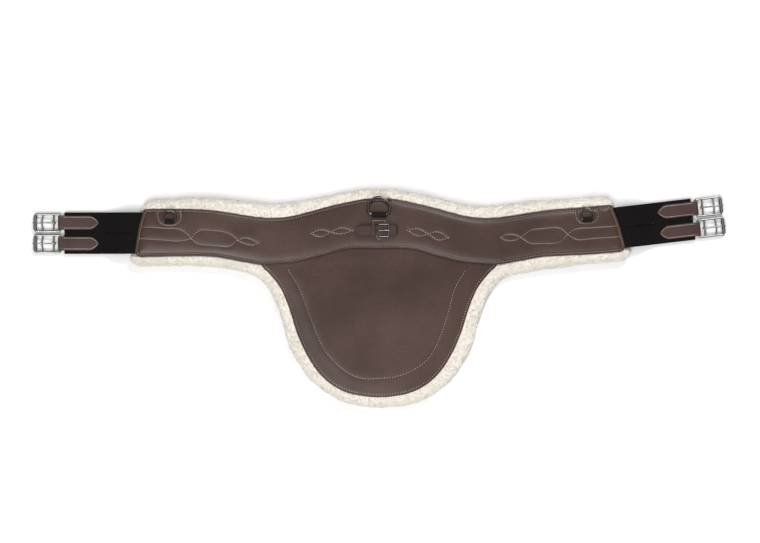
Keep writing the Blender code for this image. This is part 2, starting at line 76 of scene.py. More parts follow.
GIRTH_HALF = [
    (0, 63.5), (30, 61.5), (55, 56.5), (93, 48), (130, 37.8), (160, 30.6), (185, 27.5),
    (210, 27.6), (240, 31.3), (280, 37.8), (320, 42.4), (360, 43.7), (400, 43.8), (423, 43.4),
    (429.5, 41.8), (432, 36), (445, -26), (445.5, -36), (438, -43.2), (424, -43.6),
    (400, -43.3), (360, -42.6), (320, -42.6), (300, -43.6), (280, -46.8), (260, -50.5),
    (240, -54.3), (218, -57.3), (195, -56.8), (170, -54.8), (150, -52.5), (130, -48),
    (110, -43), (93, -38.4), (75, -32.5), (58, -29.4), (35, -27.8), (0, -28.4),
]
GUARD_EDGE_HALF = [
    (214, -61), (200, -75), (182, -98), (169.5, -124), (160, -151.6), (149.5, -184.5),
    (131, -224.7), (113, -252), (95.5, -270.4), (77, -283.2), (59, -291.4), (36, -297),
    (0, -300.4),
]
GUARD_TUCK_HALF = [(0, -6), (58, -8), (93, -16), (130, -26), (170, -33), (200, -37), (219, -47)]
FLEECE_HALF = [
    (0, 80.5), (30, 79.5), (60, 75), (93, 68), (130, 58.5), (160, 52), (185, 49.5), (210, 50.5),
    (240, 53.5), (280, 58.5), (320, 60.5), (360, 61), (405, 61), (424, 58), (433, 50),
    (435.5, 42), (453, -38), (453.5, -50), (443, -58.5), (420, -60), (390, -60), (355, -59.5),
    (320, -60.5), (290, -63), (262, -67.5), (240, -73), (224, -80), (208, -94), (193, -119),
    (178.5, -155), (161.5, -213), (142, -245), (124.5, -267), (107, -281), (89, -293.5),
    (71, -303), (54, -309), (30, -314), (0, -316.5),
]
PATCH_HALF = [(0, 24.7), (13.4, 24.7), (12.6, 12), (8.5, -3), (0.8, -17.4), (0, -17.8)]

# Rows of stitching on the girth panel and round the inside of the belly guard.
PANEL_STITCHING = [
    [(-433.5, 11.1), (-391.5, 8.2), (-361.7, 5.5), (-350.8, -1.8), (-343.1, -9.5), (-335.6, -16.8),
     (-330.7, -19.7), (-317, -22.5), (-290.9, -24.3), (-275.9, -25.2), (-266.7, -20.6), (-260.2, -13.2)],
    [(-436.3, -10.4), (-393.4, -13.2), (-365.4, -15), (-348.6, -12.2), (-343.1, -10.4), (-333.8, 0),
     (-326.3, 4.6), (-305.8, 4.6), (-283.4, 1.8), (-272.2, -2), (-259.3, -11.3)],
    [(-257.5, -13.5), (-252.5, -10.8), (-239.3, -9.9), (-230.2, -13.2), (-219.8, -18.8)],
    [(-256.5, -14.5), (-245.9, -19.5), (-229.1, -22.5), (-219.8, -18.8)],
    [(221.8, -7.9), (230, -3.6), (239.3, -2.4), (249, -3.8), (258.2, -7.9)],
    [(221.8, -7.9), (230, -12.9), (239.3, -14.1), (249, -12.7), (258.2, -7.9)],
    [(258.2, -7.9), (272.2, 2.4), (279.5, 6), (296, 7.8), (330.4, 7.7), (343.7, -3.8), (351.7, -10.1),
     (359.8, -14.2), (384.4, -14.3), (436.5, -15.9)],
    [(258.2, -7.9), (272.2, -17.2), (277.7, -19.2), (294, -19.2), (329.7, -16.4), (343.7, -3.8),
     (352.4, 2.5), (359.9, 5.2), (386.1, 5.5), (432.5, 4)],
    [(-124.2, -0.9), (-106.9, 5.5), (-88.8, 1.5), (-69.4, -1.8), (-48.8, 4.2)],
    [(-124.2, -0.9), (-106.9, -7.3), (-88.8, 1.5), (-69.4, 9.1), (-48.8, 4.2)],
    [(51.2, 5.1), (71.3, 7.3), (89.5, -1.8), (107.8, -12.8), (126.1, -9.1)],
    [(51.2, 5.1), (71.3, -5.5), (89.5, -1.8), (107.8, 1.8), (126.1, -9.1)],
]
RING_STITCHING = [(-20.5, 38.4), (-21, 30), (-17.5, 19.5), (-9, 14.2), (0, 13), (9, 14.2), (17.5, 19.5),
                  (21, 30), (20.5, 38.4)]
GUARD_STITCHING = [
    (-169.9, -60.5), (-148, -96.8), (-125.1, -155.3), (-106, -202.8), (-91.3, -224.7), (-60.3, -253.2),
    (-35.6, -264.9), (-1.8, -265.8), (34.7, -261.3), (65, -248.5), (90.3, -228.4), (112.5, -186.4),
    (126.6, -144.3), (140.7, -96.8), (162.6, -61.8),
]
EDGE_STITCH_INSET = 4.5 * MM
STITCH_PITCH = 5.0 * MM
STITCH_LENGTH = 2.2 * MM
CHAPE_STITCH_PITCH = 3.6 * MM
PATCH_STITCH_PITCH = 3.4 * MM

# A curve's handles are this many times shorter than the spans between its points.
HANDLE_SHARE = 2.5614

# The end straps.
EDGE_U = 439.4 * MM
EDGE_SLANT = 0.218
STRAP_V = 19.1 * MM
ELASTIC_WIDTH = 37.9 * MM
ELASTIC_THICKNESS = 3.0 * MM
ELASTIC_Z = 17.1 * MM
ELASTIC_END_U = 577 * MM
PIVOT_BEYOND_EDGE = 8 * MM
SEAM_BEYOND_PIVOT = 10 * MM
DROP_START_U = 458 * MM
DROP_END_U = 508 * MM
BUCKLE_Z = 4.8 * MM
REAR_BAR_U = 584.5 * MM
FRAME_LENGTH = 46.2 * MM
FRAME_HALF_WIDTH = 15.5 * MM
FRAME_WIRE = 1.8 * MM
FRAME_CORNER = 2.4 * MM
TONGUE_BAR_X = 12.1 * MM
TONGUE_BAR_WIRE = 1.5 * MM
BOW_BAR_X = 31.0 * MM
BOW_BAR_RISE = 2.7 * MM
BOW_BAR_WIRE = 1.3 * MM
TONGUE_WIRE = 1.35 * MM
ROLLER_RADIUS = 3.3 * MM
ROLLER_BORE = 2.3 * MM
ROLLER_LENGTH = 26.6 * MM
RUNNING_GAP = 0.35 * MM
CHAPE_HALF_WIDTH = 12.7 * MM
CHAPE_THICKNESS = 2.0 * MM
CHAPE_LOOP = 3.3 * MM
CHAPE_TOP_LENGTH = 71.1 * MM
CHAPE_BACK_LENGTH = 60 * MM
CHAPE_POINT = 17 * MM

# D-rings: half width, half bar, height of the widest place, height of the arc, wire radius, tab width.
CENTER_RING = dict(half=20 * MM, bar=14.2 * MM, low=11 * MM, arc=20 * MM, wire=2.1 * MM, tab=26.4 * MM)
SIDE_RING = dict(half=11.3 * MM, bar=9.5 * MM, low=7 * MM, arc=11.7 * MM, wire=1.4 * MM, tab=18 * MM)
SIDE_RING_U = 382 * MM
TAB_THICKNESS = 1.2 * MM
TAB_CLEARANCE = 0.4 * MM
TAB_FOOT_Z = 25.2 * MM
RING_TILT = radians(-3)

# The small buckled strap.
STRAP_HALF_WIDTH = 8.5 * MM
STRAP_THICKNESS = 1.4 * MM
STRAP_LOOP = 2.2 * MM
STRAP_LOW_Z = 29.9 * MM
STRAP_FRAME_LENGTH = 17.5 * MM
STRAP_FRAME_HALF = 11.05 * MM
STRAP_FRAME_WIRE = 1.2 * MM
STRAP_FRAME_TILT = radians(12)
STRAP_TONGUE_WIRE = 1.0 * MM
STRAP_POINT = 9 * MM
KEEPER_X = -10.8 * MM


# Flat places and curves.

def lay(points):
    """Real (x, y) places, in metres, of flat (u, v) points in millimetres: the right wing bends."""
    u, v = np.asarray(points, float).reshape(-1, 2).T * MM
    turn = np.clip(u - BEND_START, 0, BEND_END - BEND_START) / BEND_RADIUS
    beyond = np.maximum(u - BEND_END, 0)
    x = np.minimum(u, BEND_START) + BEND_RADIUS * np.sin(turn) + beyond * np.cos(turn) - v * np.sin(turn)
    y = BEND_RADIUS * (1 - np.cos(turn)) + beyond * np.sin(turn) + v * np.cos(turn)
    return np.stack([x, y], 1) + ORIGIN_SHIFT


def mirrored(half):
    return list(half) + [(-u, v) for u, v in reversed(half) if u > 0]


def resample(line, step, closed=False):
    """The same line with even steps of about this length."""
    if closed:
        line = np.vstack([line, line[:1]])
    lengths = np.concatenate([[0], np.cumsum(np.linalg.norm(np.diff(line, axis=0), axis=1))])
    count = max(2, round(lengths[-1] / step)) + (0 if closed else 1)
    at = np.linspace(0, lengths[-1], count, endpoint=not closed)
    return np.stack([np.interp(at, lengths, axis) for axis in line.T], 1)


def curve_through(points, step, closed=False):
    """A smooth line through the points, sampled evenly."""
    p = np.asarray(points, float)
    if closed:
        before, after = np.roll(p, 1, 0), np.roll(p, -1, 0)
    else:
        before = np.vstack([2 * p[0] - p[1], p[:-1]])
        after = np.vstack([p[1:], 2 * p[-1] - p[-2]])
    size_in = np.linalg.norm(p - before, axis=1, keepdims=True)
    size_out = np.linalg.norm(after - p, axis=1, keepdims=True)
    along = unit((p - before) / size_in + (after - p) / size_out)
    left, right = p - along * size_in / HANDLE_SHARE, p + along * size_out / HANDLE_SHARE
    spans = len(p) if closed else len(p) - 1
    t = np.linspace(0, 1, 16, endpoint=False)[:, None]
    line = []
    for i in range(spans):
        j = (i + 1) % len(p)
        line.append((1 - t) ** 3 * p[i] + 3 * (1 - t) ** 2 * t * right[i]
                    + 3 * (1 - t) * t ** 2 * left[j] + t ** 3 * p[j])
    if not closed:
        line.append(p[-1:])
    return resample(np.vstack(line), step, closed)


def unit(vectors):
    return vectors / np.linalg.norm(vectors, axis=1, keepdims=True)


def directions(line, closed=False):
    """Unit directions along a line at each of its points."""
    return unit(np.roll(line, -1, 0) - np.roll(line, 1, 0) if closed else np.gradient(line, axis=0))


def sideways(line, closed=False):
    """Unit directions to the left of a flat line."""
    along = directions(line, closed)
    return np.stack([-along[:, 1], along[:, 0]], 1)


def inward(outline):
    """Unit directions pointing into a closed clockwise outline."""
    return -sideways(outline, closed=True)


def fuller(edge):
    """The fleece's outline with the longer pile that it has at the upper left and the lower right."""
    u, v = ((edge - ORIGIN_SHIFT) / MM).T
    upper_left = smooth_step((v - 25) / 20) * smooth_step((-u - 90) / 70) * smooth_step((u + 400) / 60)
    low = smooth_step((-v - 240) / 50)
    lower_right = smooth_step((-v - 50) / 15) * smooth_step((u + 10) / 110) * smooth_step((390 - u) / 60)
    grown = 4.5 * upper_left + 2.5 * low + (5.5 - 1.5 * low) * lower_right
    return edge - inward(edge) * (grown * MM)[:, None]


def nearest(points, others):
    """The nearest one of the others to each point: its index and its distance."""
    tree = KDTree(len(others))
    for i, (x, y) in enumerate(others):
        tree.insert((x, y, 0), i)
    tree.balance()
    found = [tree.find((x, y, 0)) for x, y in points]
    return np.array([f[1] for f in found]), np.array([f[2] for f in found])


def distance_to(points, line, closed=False):
    """Each point's distance to an evenly sampled polyline."""
    near, _ = nearest(points, line)
    last = len(line) - 1
    best = np.full(len(points), np.inf)
    for step in (-1, 0):
        a = (near + step) % len(line) if closed else np.clip(near + step, 0, last - 1)
        a, b = line[a], line[(a + 1) % len(line)]
        span = b - a
        t = np.clip(((points - a) * span).sum(1) / (span ** 2).sum(1), 0, 1)
        best = np.minimum(best, np.linalg.norm(a + t[:, None] * span - points, axis=1))
    return best


def inside(points, outline):
    """Whether each point is inside a closed outline."""
    x0, y0 = outline.T
    x1, y1 = np.roll(outline, -1, 0).T
    result = np.empty(len(points), bool)
    for i in range(0, len(points), 4000):
        x, y = points[i:i + 4000, :1], points[i:i + 4000, 1:]
        crosses = (y0 > y) != (y1 > y)
        at = x0 + (y - y0) / np.where(y1 == y0, 1, y1 - y0) * (x1 - x0)
        result[i:i + 4000] = (crosses & (x < at)).sum(1) % 2 == 1
    return result


def smooth_step(t):
    t = np.clip(t, 0, 1)
    return t * t * (3 - 2 * t)


def waves(xy, size, seed, count=6):
    """Gentle seeded undulation, about -1 to 1, with features of about this size."""
    rng = np.random.default_rng(seed)
    total = np.zeros(len(xy))
    for _ in range(count):
        angle, phase, scale = rng.uniform(0, 2 * pi), rng.uniform(0, 2 * pi), rng.uniform(0.7, 1.6)
        run = xy @ np.array([cos(angle), sin(angle)])
        total += np.sin(run * 2 * pi / (size * scale) + phase)
    return total / count ** 0.5


# Surfaces over a closed outline.

def apart(new, old, gap):
    """The new points that are at least a gap away from all old ones."""
    return new[nearest(new, old)[1] > gap] if len(new) else new


def cover(outline, depths, pitch, lines=()):
    """Points over a closed outline: its edge, rows beside lines, rings inside the edge, then a grid."""
    points = outline
    for line in lines:
        for side in (0, 0.5, -0.5, 1.1, -1.1, 2.0, -2.0):
            row = line + sideways(line) * side * MM
            row = row[inside(row, outline)]
            points = np.vstack([points, apart(row, points, 0.35 * MM)])
    last = 0
    for depth in depths:
        ring = outline + inward(outline) * depth
        ring = ring[inside(ring, outline)]
        ring = ring[distance_to(ring, outline, True) > depth * 0.95 - 0.01 * MM]
        points = np.vstack([points, apart(ring, points, min(0.45 * (depth - last), 0.5 * MM))])
        last = depth
    low, high = outline.min(0), outline.max(0)
    rows = np.arange(low[1], high[1], pitch * 0.866)
    grid = np.array([(x + (pitch / 2 if i % 2 else 0), y)
                     for i, y in enumerate(rows) for x in np.arange(low[0], high[0], pitch)])
    grid = grid[inside(grid, outline)]
    grid = grid[distance_to(grid, outline, True) > last + pitch * 0.4]
    return np.vstack([points, apart(grid, points, pitch * 0.5)])


def triangulate(points, edge_count):
    """Triangles over points, facing up. The first edge_count points are the closed edge."""
    edges = [(i, (i + 1) % edge_count) for i in range(edge_count)]
    found = delaunay_2d_cdt([Vector(p) for p in points], edges, [], 1, 1e-9)
    faces = []
    for face in found[2]:
        a, b, c = (min(found[3][i]) for i in face)
        (x0, y0), (x1, y1), (x2, y2) = points[a], points[b], points[c]
        turn = (x1 - x0) * (y2 - y0) - (y1 - y0) * (x2 - x0)
        faces.append((a, b, c) if turn > 0 else (a, c, b))
    return faces


def joined_at_edge(upper, upper_faces, lower, lower_faces, edge_count):
    """One closed part from two surfaces whose first edge_count vertices are the same edge."""
    shift = len(upper) - edge_count
    turned_over = [tuple(i if i < edge_count else i + shift for i in (a, c, b)) for a, b, c in lower_faces]
    return np.vstack([upper, lower[edge_count:]]), upper_faces + turned_over


# Straps and wires. Each gives its vertices and faces.

def leather_section(thickness, groove=None, crown=0.2 * MM):
    """The cross-section of a leather strap with rounded edges and a channel for its stitches.

    It gives (across, up) places for a half width, the upper face first. insets are places in from
    each edge, and lifts are the upper face's heights there over flat.
    """
    half, narrow = thickness / 2, 7 * MM
    insets = np.array([0, 0.12, 0.4, 0.9, 1.6]) * MM
    lifts = np.array([-half, -0.6 * half, -0.12 * half, 0, 0.02 * MM])
    if groove:
        insets = np.concatenate([insets[:-1], (groove + np.array([-0.7, -0.3, 0, 0.3, 0.7])) * MM])
        lifts = np.concatenate([lifts[:-1], np.array([0, -0.22, -0.32, -0.22, 0.02]) * MM])

    def section(h):
        last = insets[-1]
        reach = max(h, narrow)
        rest = np.linspace(last + 0.15 * (reach - last), reach, 5)
        inset = np.concatenate([insets, rest])
        lift = np.concatenate([lifts, crown * (rest - last) / (rest[-1] - last)])
        across = inset * min(1.0, h / narrow) - h
        under = half + np.minimum(lift, 0) * (inset < 0.8 * MM)
        upper = np.concatenate([half + lift, (half + lift)[::-1]])
        lower = np.concatenate([-under, -under[::-1]])
        across = np.concatenate([across, -across[::-1]])
        return np.column_stack([np.concatenate([across, across[::-1]]), np.concatenate([upper, lower])])
    return section


def elastic_section(h):
    """A woven elastic's cross-section: lengthwise ribs on both faces."""
    ribs = 20
    across = np.linspace(-h + 0.5 * MM, h - 0.5 * MM, ribs * 2 + 1)
    up = ELASTIC_THICKNESS / 2 - 0.22 * MM * (np.arange(len(across)) % 2 == 0)
    across = np.concatenate([[-h, -h + 0.12 * MM], across, [h - 0.12 * MM, h]])
    up = np.concatenate([[0.55 * MM, 1.0 * MM], up, [1.0 * MM, 0.55 * MM]])
    return np.column_stack([np.concatenate([across, across[::-1]]), np.concatenate([up, -up[::-1]])])


def lofted(rows, columns, closed=False, caps=(False, False), flipped=False):
    """The faces of a tube whose rings of vertices come one after the other."""
    faces = []
    for i in range(rows if closed else rows - 1):
        low, high = i * columns, (i + 1) % rows * columns
        for j in range(columns):
            n = (j + 1) % columns
            around = (low + j, low + n, high + n, high + j)
            faces.append(around[:1] + around[:0:-1] if flipped else around)
    first = tuple(range(columns))
    last = tuple(range((rows - 1) * columns, rows * columns))
    if caps[0]:
        faces.append(first if flipped else first[::-1])
    if caps[1]:
        faces.append(last[::-1] if flipped else last)
    return faces


def ribbon(route, half_width, section, place, lean=None, caps=(True, True), closed=False):
    """A strap lofted along its side view, a list of (x, z) places; y runs across it."""
    route = np.asarray(route, float)
    along = directions(route, closed)
    lengths = np.concatenate([[0], np.cumsum(np.linalg.norm(np.diff(route, axis=0), axis=1))])
    verts, uvs = [], []
    for i, (x, z) in enumerate(route):
        across, up = section(half_width(lengths[i])).T
        shear = lean(i / (len(route) - 1)) if lean else 0.0
        verts.append(np.column_stack([
            x + shear * across - along[i][1] * up, across, z + along[i][0] * up]))
        uvs.append(np.column_stack([across, np.full(len(across), lengths[i])]) * 100)
    faces = lofted(len(route), len(verts[0]), closed, (False, False) if closed else caps, flipped=True)
    return moved(np.vstack(verts), place), faces, np.vstack(uvs)


def moved(verts, place):
    matrix = np.array(place)
    return verts @ matrix[:3, :3].T + matrix[:3, 3]


def tube(path, radius, place, plane=(0, 0, 1), closed=False, sides=16, radii=None):
    """A round wire along a path that lies in a plane; an open one has domed ends."""
    path = np.asarray(path, float)
    radii = np.full(len(path), radius) if radii is None else np.asarray(radii, float) * radius
    if not closed:
        start = (path[0] - path[1]) / np.linalg.norm(path[0] - path[1])
        end = (path[-1] - path[-2]) / np.linalg.norm(path[-1] - path[-2])
        dome = np.radians([80, 55, 28])
        first = [path[0] + start * radii[0] * sin(a) for a in dome]
        last = [path[-1] + end * radii[-1] * sin(a) for a in dome[::-1]]
        radii = np.concatenate([radii[0] * np.cos(dome), radii, radii[-1] * np.cos(dome[::-1])])
        path = np.vstack([first, path, last])
    up = np.asarray(plane, float)
    out = np.cross(directions(path, closed), up)
    angles = np.linspace(0, 2 * pi, sides, endpoint=False)
    ring = np.cos(angles)[None, :, None] * out[:, None] + np.sin(angles)[None, :, None] * up
    verts = (path[:, None] + ring * radii[:, None, None]).reshape(-1, 3)
    return moved(verts, place), lofted(len(path), sides, closed, (not closed, not closed))


def turned(profile, place, steps=32):
    """A closed profile of (radius, along) places turned about the local Y axis."""
    angles = np.linspace(0, 2 * pi, steps, endpoint=False)
    verts = np.array([(r * sin(a), y, r * cos(a)) for a in angles for r, y in profile])
    return moved(verts, place), lofted(steps, len(profile), closed=True)


def arc(center, radius, start, end, steps):
    angles = np.radians(np.linspace(start, end, steps + 1))
    return [(center[0] + radius * cos(a), center[1] + radius * sin(a)) for a in angles]


def stitches(line, height, closed=False, place=Matrix.Identity(4), pitch=STITCH_PITCH):
    """Stitches along a line over a surface: little bowed threads whose ends sink into it.

    height gives the surface's height over (x, y) points; place is a frame that they are all in.
    """
    spots = resample(line, pitch, closed)
    across = sideways(spots, closed)
    along = directions(spots, closed) + 0.12 * across
    steps = np.array([-0.5, -0.36, 0.0, 0.36, 0.5]) * STITCH_LENGTH
    lift = np.array([-0.42, 0.1, 0.2, 0.1, -0.42]) * MM
    thick = np.array([0.28, 0.46, 0.5, 0.46, 0.28]) * MM
    angles = np.linspace(0, 2 * pi, 6, endpoint=False)
    base = height(spots)
    verts = []
    for s, z, r in zip(steps, lift, thick):
        for a in angles:
            xy = spots + along * s + across * r * cos(a)
            verts.append(np.column_stack([xy, base + z + r * 0.8 * sin(a)]))
    one = lofted(len(steps), len(angles), caps=(True, True), flipped=True)
    faces = [tuple(k * len(verts) + i for i in face) for k in range(len(spots)) for face in one]
    return moved(np.stack(verts, 1).reshape(-1, 3), place), faces


def needle_hole_shade(line, height, closed=False):
    """Painted shade for the pricked holes between the same line's stitches: flat dark six-sided beads."""
    spots = resample(line, STITCH_PITCH / 2, closed)[1::2]
    base = height(spots)
    angles = np.linspace(0, 2 * pi, 6, endpoint=False)
    rows = [np.column_stack([spots + 1.0 * MM * np.array([cos(a), sin(a)]), base - 0.1 * MM])
            for a in angles]
    rows.append(np.column_stack([spots, base + 0.12 * MM]))
    faces = [(k * 7 + j, k * 7 + (j + 1) % 6, k * 7 + 6) for k in range(len(spots)) for j in range(6)]
    return np.stack(rows, 1).reshape(-1, 3), faces


def placed(name, data, location=(0, 0, 0)):
    """A new object in the scene."""
    obj = bpy.data.objects.new(name, data)
    bpy.context.scene.collection.objects.link(obj)
    obj.location = location
    return obj


def piece(name, parts, material, body=None, node=None, values=None):
    """A mesh object made of one or more parts, smooth, in one material, riding on its body."""
    verts = np.vstack([part[0] for part in parts])
    faces = []
    shift = 0
    for part in parts:
        faces += [tuple(i + shift for i in face) for face in part[1]]
        shift += len(part[0])
    mesh = bpy.data.meshes.new(name)
    mesh.from_pydata(verts.tolist(), [], faces)
    mesh.polygons.foreach_set("use_smooth", np.ones(len(mesh.polygons), bool))
    if all(len(part) > 2 for part in parts):
        layer = mesh.uv_layers.new(name="strap")
        corner = np.zeros(len(mesh.loops), np.int32)
        mesh.loops.foreach_get("vertex_index", corner)
        layer.uv.foreach_set("vector", np.vstack([part[2] for part in parts])[corner].ravel())
    if values is not None:
        # These per-vertex values are the edge burnish on leather, and painted shade in the wool's pile.
        layer = mesh.attributes.new("burnish_and_painted_shade", "FLOAT", "POINT")
        layer.data.foreach_set("value", np.asarray(values, np.float32))
    mesh.update()
    mesh.materials.append(material)
    obj = placed(name, mesh)
    if body:
        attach(obj, body)
    if node:
        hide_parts(node)
    return obj


# Materials.

def look(name, color, roughness, metallic=0.0, gloss=0.5):
    """A new Principled material with its node tree and shader."""
    material = bpy.data.materials.new(name)
    material.use_nodes = True
    tree = material.node_tree
    shader = tree.nodes["Principled BSDF"]
    values = {"Base Color": (*color, 1), "Roughness": roughness, "Metallic": metallic}
    for key, value in (*values.items(), ("Specular IOR Level", gloss)):
        shader.inputs[key].default_value = value
    return material, tree, shader


def add(tree, kind, inputs, **settings):
    """A new shader node; its inputs are values, or other nodes' outputs to link."""
    node = tree.nodes.new("ShaderNode" + kind)
    for key, value in settings.items():
        setattr(node, key, value)
    for key, value in inputs.items():
        socket = node.inputs[key]
        if isinstance(value, bpy.types.NodeSocket):
            tree.links.new(value, socket)
        else:
            socket.default_value = value
    return node


def ramp(tree, factor, stops):
    """A colour ramp over a factor; stops are (position, colour)."""
    node = add(tree, "ValToRGB", {"Fac": factor})
    while len(node.color_ramp.elements) < len(stops):
        node.color_ramp.elements.new(0.5)
    for element, (position, color) in zip(node.color_ramp.elements, stops):
        element.position = position
        element.color = (*color, 1)
    return node.outputs["Color"]


def grey(value):
    return (value, value, value)


def mix(tree, factor, a, b, blend="MIX"):
    node = add(tree, "Mix", {}, data_type="RGBA", blend_type=blend)
    for index, value in ((0, factor), (6, a), (7, b)):
        if isinstance(value, bpy.types.NodeSocket):
            tree.links.new(value, node.inputs[index])
        else:
            node.inputs[index].default_value = value if index == 0 else (*value, 1)
    return node.outputs[2]


def bump(tree, height, strength, distance, normal=None):
    inputs = {"Height": height, "Strength": strength, "Distance": distance}
    if normal:
        inputs["Normal"] = normal
    return add(tree, "Bump", inputs).outputs["Normal"]


def textured(name, color, roughness, space="Object", **settings):
    """A new material for patterns, with the place in this space that they read."""
    material, tree, shader = look(name, color, roughness, **settings)
    return material, tree, shader, add(tree, "TexCoord", {}).outputs[space]


def clouds(tree, place, scale, detail, roughness=0.5):
    inputs = {"Vector": place, "Scale": scale, "Detail": detail, "Roughness": roughness}
    return add(tree, "TexNoise", inputs).outputs["Fac"]


def shaded(tree, color, factor, stops):
    """The colour times a ramp over a factor."""
    return mix(tree, 1.0, color, ramp(tree, factor, stops), "MULTIPLY")


def linked(material, shader, **outputs):
    """The material with these outputs linked to its shader's inputs of the same names."""
    for name, output in outputs.items():
        material.node_tree.links.new(output, shader.inputs[name.replace("_", " ").title()])
    return material


def leather(name, dark, light, edge, roughness, grain=0.22):
    """Smooth oiled leather: cloudy tone, fine pebbled grain, burnished edges."""
    material, tree, shader, place = textured(name, light, roughness, gloss=0.34)
    tone = clouds(tree, place, 10.0, 5.0, 0.62)
    color = ramp(tree, tone, [(0.32, dark), (0.68, light)])
    flecks = clouds(tree, place, 260.0, 4.0, 0.7)
    color = shaded(tree, color, flecks, [(0.35, grey(0.84)), (0.65, grey(1.08))])
    hide = clouds(tree, place, 3.2, 2.0)
    color = shaded(tree, color, hide, [(0.36, (0.86, 0.83, 0.82)), (0.62, (1.15, 1.18, 1.20))])
    burnish_and_painted_shade = add(tree, "Attribute", {}, attribute_name="burnish_and_painted_shade").outputs["Fac"]
    color = mix(tree, burnish_and_painted_shade, color, edge)
    gloss = ramp(tree, tone, [(0.3, grey(roughness - 0.05)), (0.7, grey(roughness + 0.07))])
    gloss = mix(tree, burnish_and_painted_shade, gloss, grey(roughness - 0.1))
    pebbles = add(tree, "TexVoronoi", {"Vector": place, "Scale": 1150.0}, feature="SMOOTH_F1")
    normal = bump(tree, pebbles.outputs["Distance"], grain, 0.0003)
    normal = bump(tree, clouds(tree, place, 420.0, 5.0, 0.65), grain, 0.0004, normal)
    return linked(material, shader, base_color=color, roughness=gloss, normal=normal)


def wool():
    """Cream sheepskin: soft sheen, with painted shade that makes it darker and warmer down between the curls.
    """
    material, tree, shader, place = textured("fleece_wool", (0.9, 0.85, 0.77), 0.95, gloss=0.1)
    shader.inputs["Sheen Weight"].default_value = 0.9
    shader.inputs["Sheen Roughness"].default_value = 0.6
    # Painted shade: this attribute darkens the wool's colour where the pile dips between curls and towards
    # the locks' roots.
    pile_shade = add(tree, "Attribute", {}, attribute_name="burnish_and_painted_shade").outputs["Fac"]
    stops = [(0.0, (0.72, 0.66, 0.58)), (0.4, (0.78, 0.73, 0.655)), (1.0, (0.83, 0.785, 0.715))]
    patches = clouds(tree, place, 22.0, 3.0)
    color = shaded(tree, ramp(tree, pile_shade, stops), patches, [(0.3, (0.95, 0.93, 0.90)), (0.7, grey(1.03))])
    strands = clouds(tree, place, 900.0, 4.0, 0.7)
    return linked(material, shader, base_color=color, normal=bump(tree, strands, 0.5, 0.0006))


def woven(name, color, light, warp, roughness, strength=0.5):
    """Woven tape: yarns across it every warp millimetres, from the strap's own coordinates."""
    material, tree, shader, flat = textured(name, color, roughness, "UV", gloss=0.12)
    scale = 2 * pi / (20 * warp / 10)
    picks = add(tree, "TexWave", {"Vector": flat, "Scale": scale}, bands_direction="Y")
    ends = add(tree, "TexWave", {"Vector": flat, "Scale": scale * 0.8}, bands_direction="X")
    weave = mix(tree, 0.5, picks.outputs["Color"], ends.outputs["Color"])
    fuzz = clouds(tree, flat, 40.0, 4.0, 0.7)
    tone = mix(tree, 0.35, mix(tree, fuzz, color, light), weave, "MULTIPLY")
    normal = bump(tree, fuzz, 0.3, 0.0003, bump(tree, weave, strength, 0.0003))
    return linked(material, shader, base_color=tone, normal=normal)


def steel(name, color, roughness):
    """Polished metal with faint handling marks."""
    material, tree, shader, place = textured(name, color, roughness, metallic=1.0)
    shader.inputs["Specular Tint"].default_value = (0.1, 0.1, 0.1, 1)
    marks = clouds(tree, place, 160.0, 5.0, 0.7)
    gloss = ramp(tree, marks, [(0.35, grey(roughness - 0.05)), (0.7, grey(roughness + 0.12))])
    tint = ramp(tree, marks, [(0.3, tuple(0.86 * c for c in color)), (0.7, color)])
    return linked(material, shader, roughness=gloss, base_color=tint, normal=bump(tree, marks, 0.06, 0.0002))


def thread():
    """Waxed beige thread."""
    material, tree, shader, place = textured("thread", (0.60, 0.53, 0.46), 0.65)
    dirt = clouds(tree, place, 60.0, 3.0)
    color = ramp(tree, dirt, [(0.3, (0.42, 0.36, 0.31)), (0.6, (0.68, 0.60, 0.53))])
    twist = add(tree, "TexWave", {"Vector": place, "Scale": 420.0}, bands_direction="DIAGONAL")
    return linked(material, shader, base_color=color, normal=bump(tree, twist.outputs["Fac"], 0.35, 0.0002))


def foam():
    material, tree, shader, place = textured("foam_cells", (0.22, 0.22, 0.23), 0.95)
    cells = add(tree, "TexVoronoi", {"Vector": place, "Scale": 900.0}).outputs["Distance"]
    color = ramp(tree, cells, [(0.1, grey(0.15)), (0.6, grey(0.27))])
    return linked(material, shader, base_color=color, normal=bump(tree, cells, 0.5, 0.0004))


LEATHER, CHAPE_LEATHER, STRAP_LEATHER, LINING = (leather(*settings) for settings in (
    ("girth_leather", (0.046, 0.0225, 0.017), (0.068, 0.0355, 0.0275), (0.026, 0.014, 0.011), 0.35),
    ("chape_leather", (0.042, 0.0195, 0.016), (0.074, 0.039, 0.0325), (0.024, 0.012, 0.010), 0.35),
    ("strap_leather", (0.036, 0.0175, 0.0135), (0.056, 0.029, 0.0225), (0.02, 0.01, 0.008), 0.36),
    ("lining_leather", (0.22, 0.16, 0.12), (0.28, 0.21, 0.16), (0.2, 0.15, 0.1), 0.7)))
WOOL = wool()
ELASTIC = woven("girth_elastic", (0.0042, 0.0034, 0.0037), (0.0085, 0.007, 0.0078), 0.9, 0.85)
WEBBING = woven("black_webbing", (0.008, 0.007, 0.006), (0.018, 0.015, 0.012), 1.1, 0.75)
STEEL = steel("polished_steel", (0.27, 0.27, 0.265), 0.13)
DARK_STEEL = steel("ring_steel", (0.13, 0.128, 0.12), 0.18)
THREAD = thread()
FOAM = foam()
# Painted shade: this dark colour stands for the shadowed insides of the needle holes.
HOLE_SHADE = look("needle_hole_shade", (0.018, 0.011, 0.009), 0.8)[0]


# The girth panel, the belly guard and their padding.

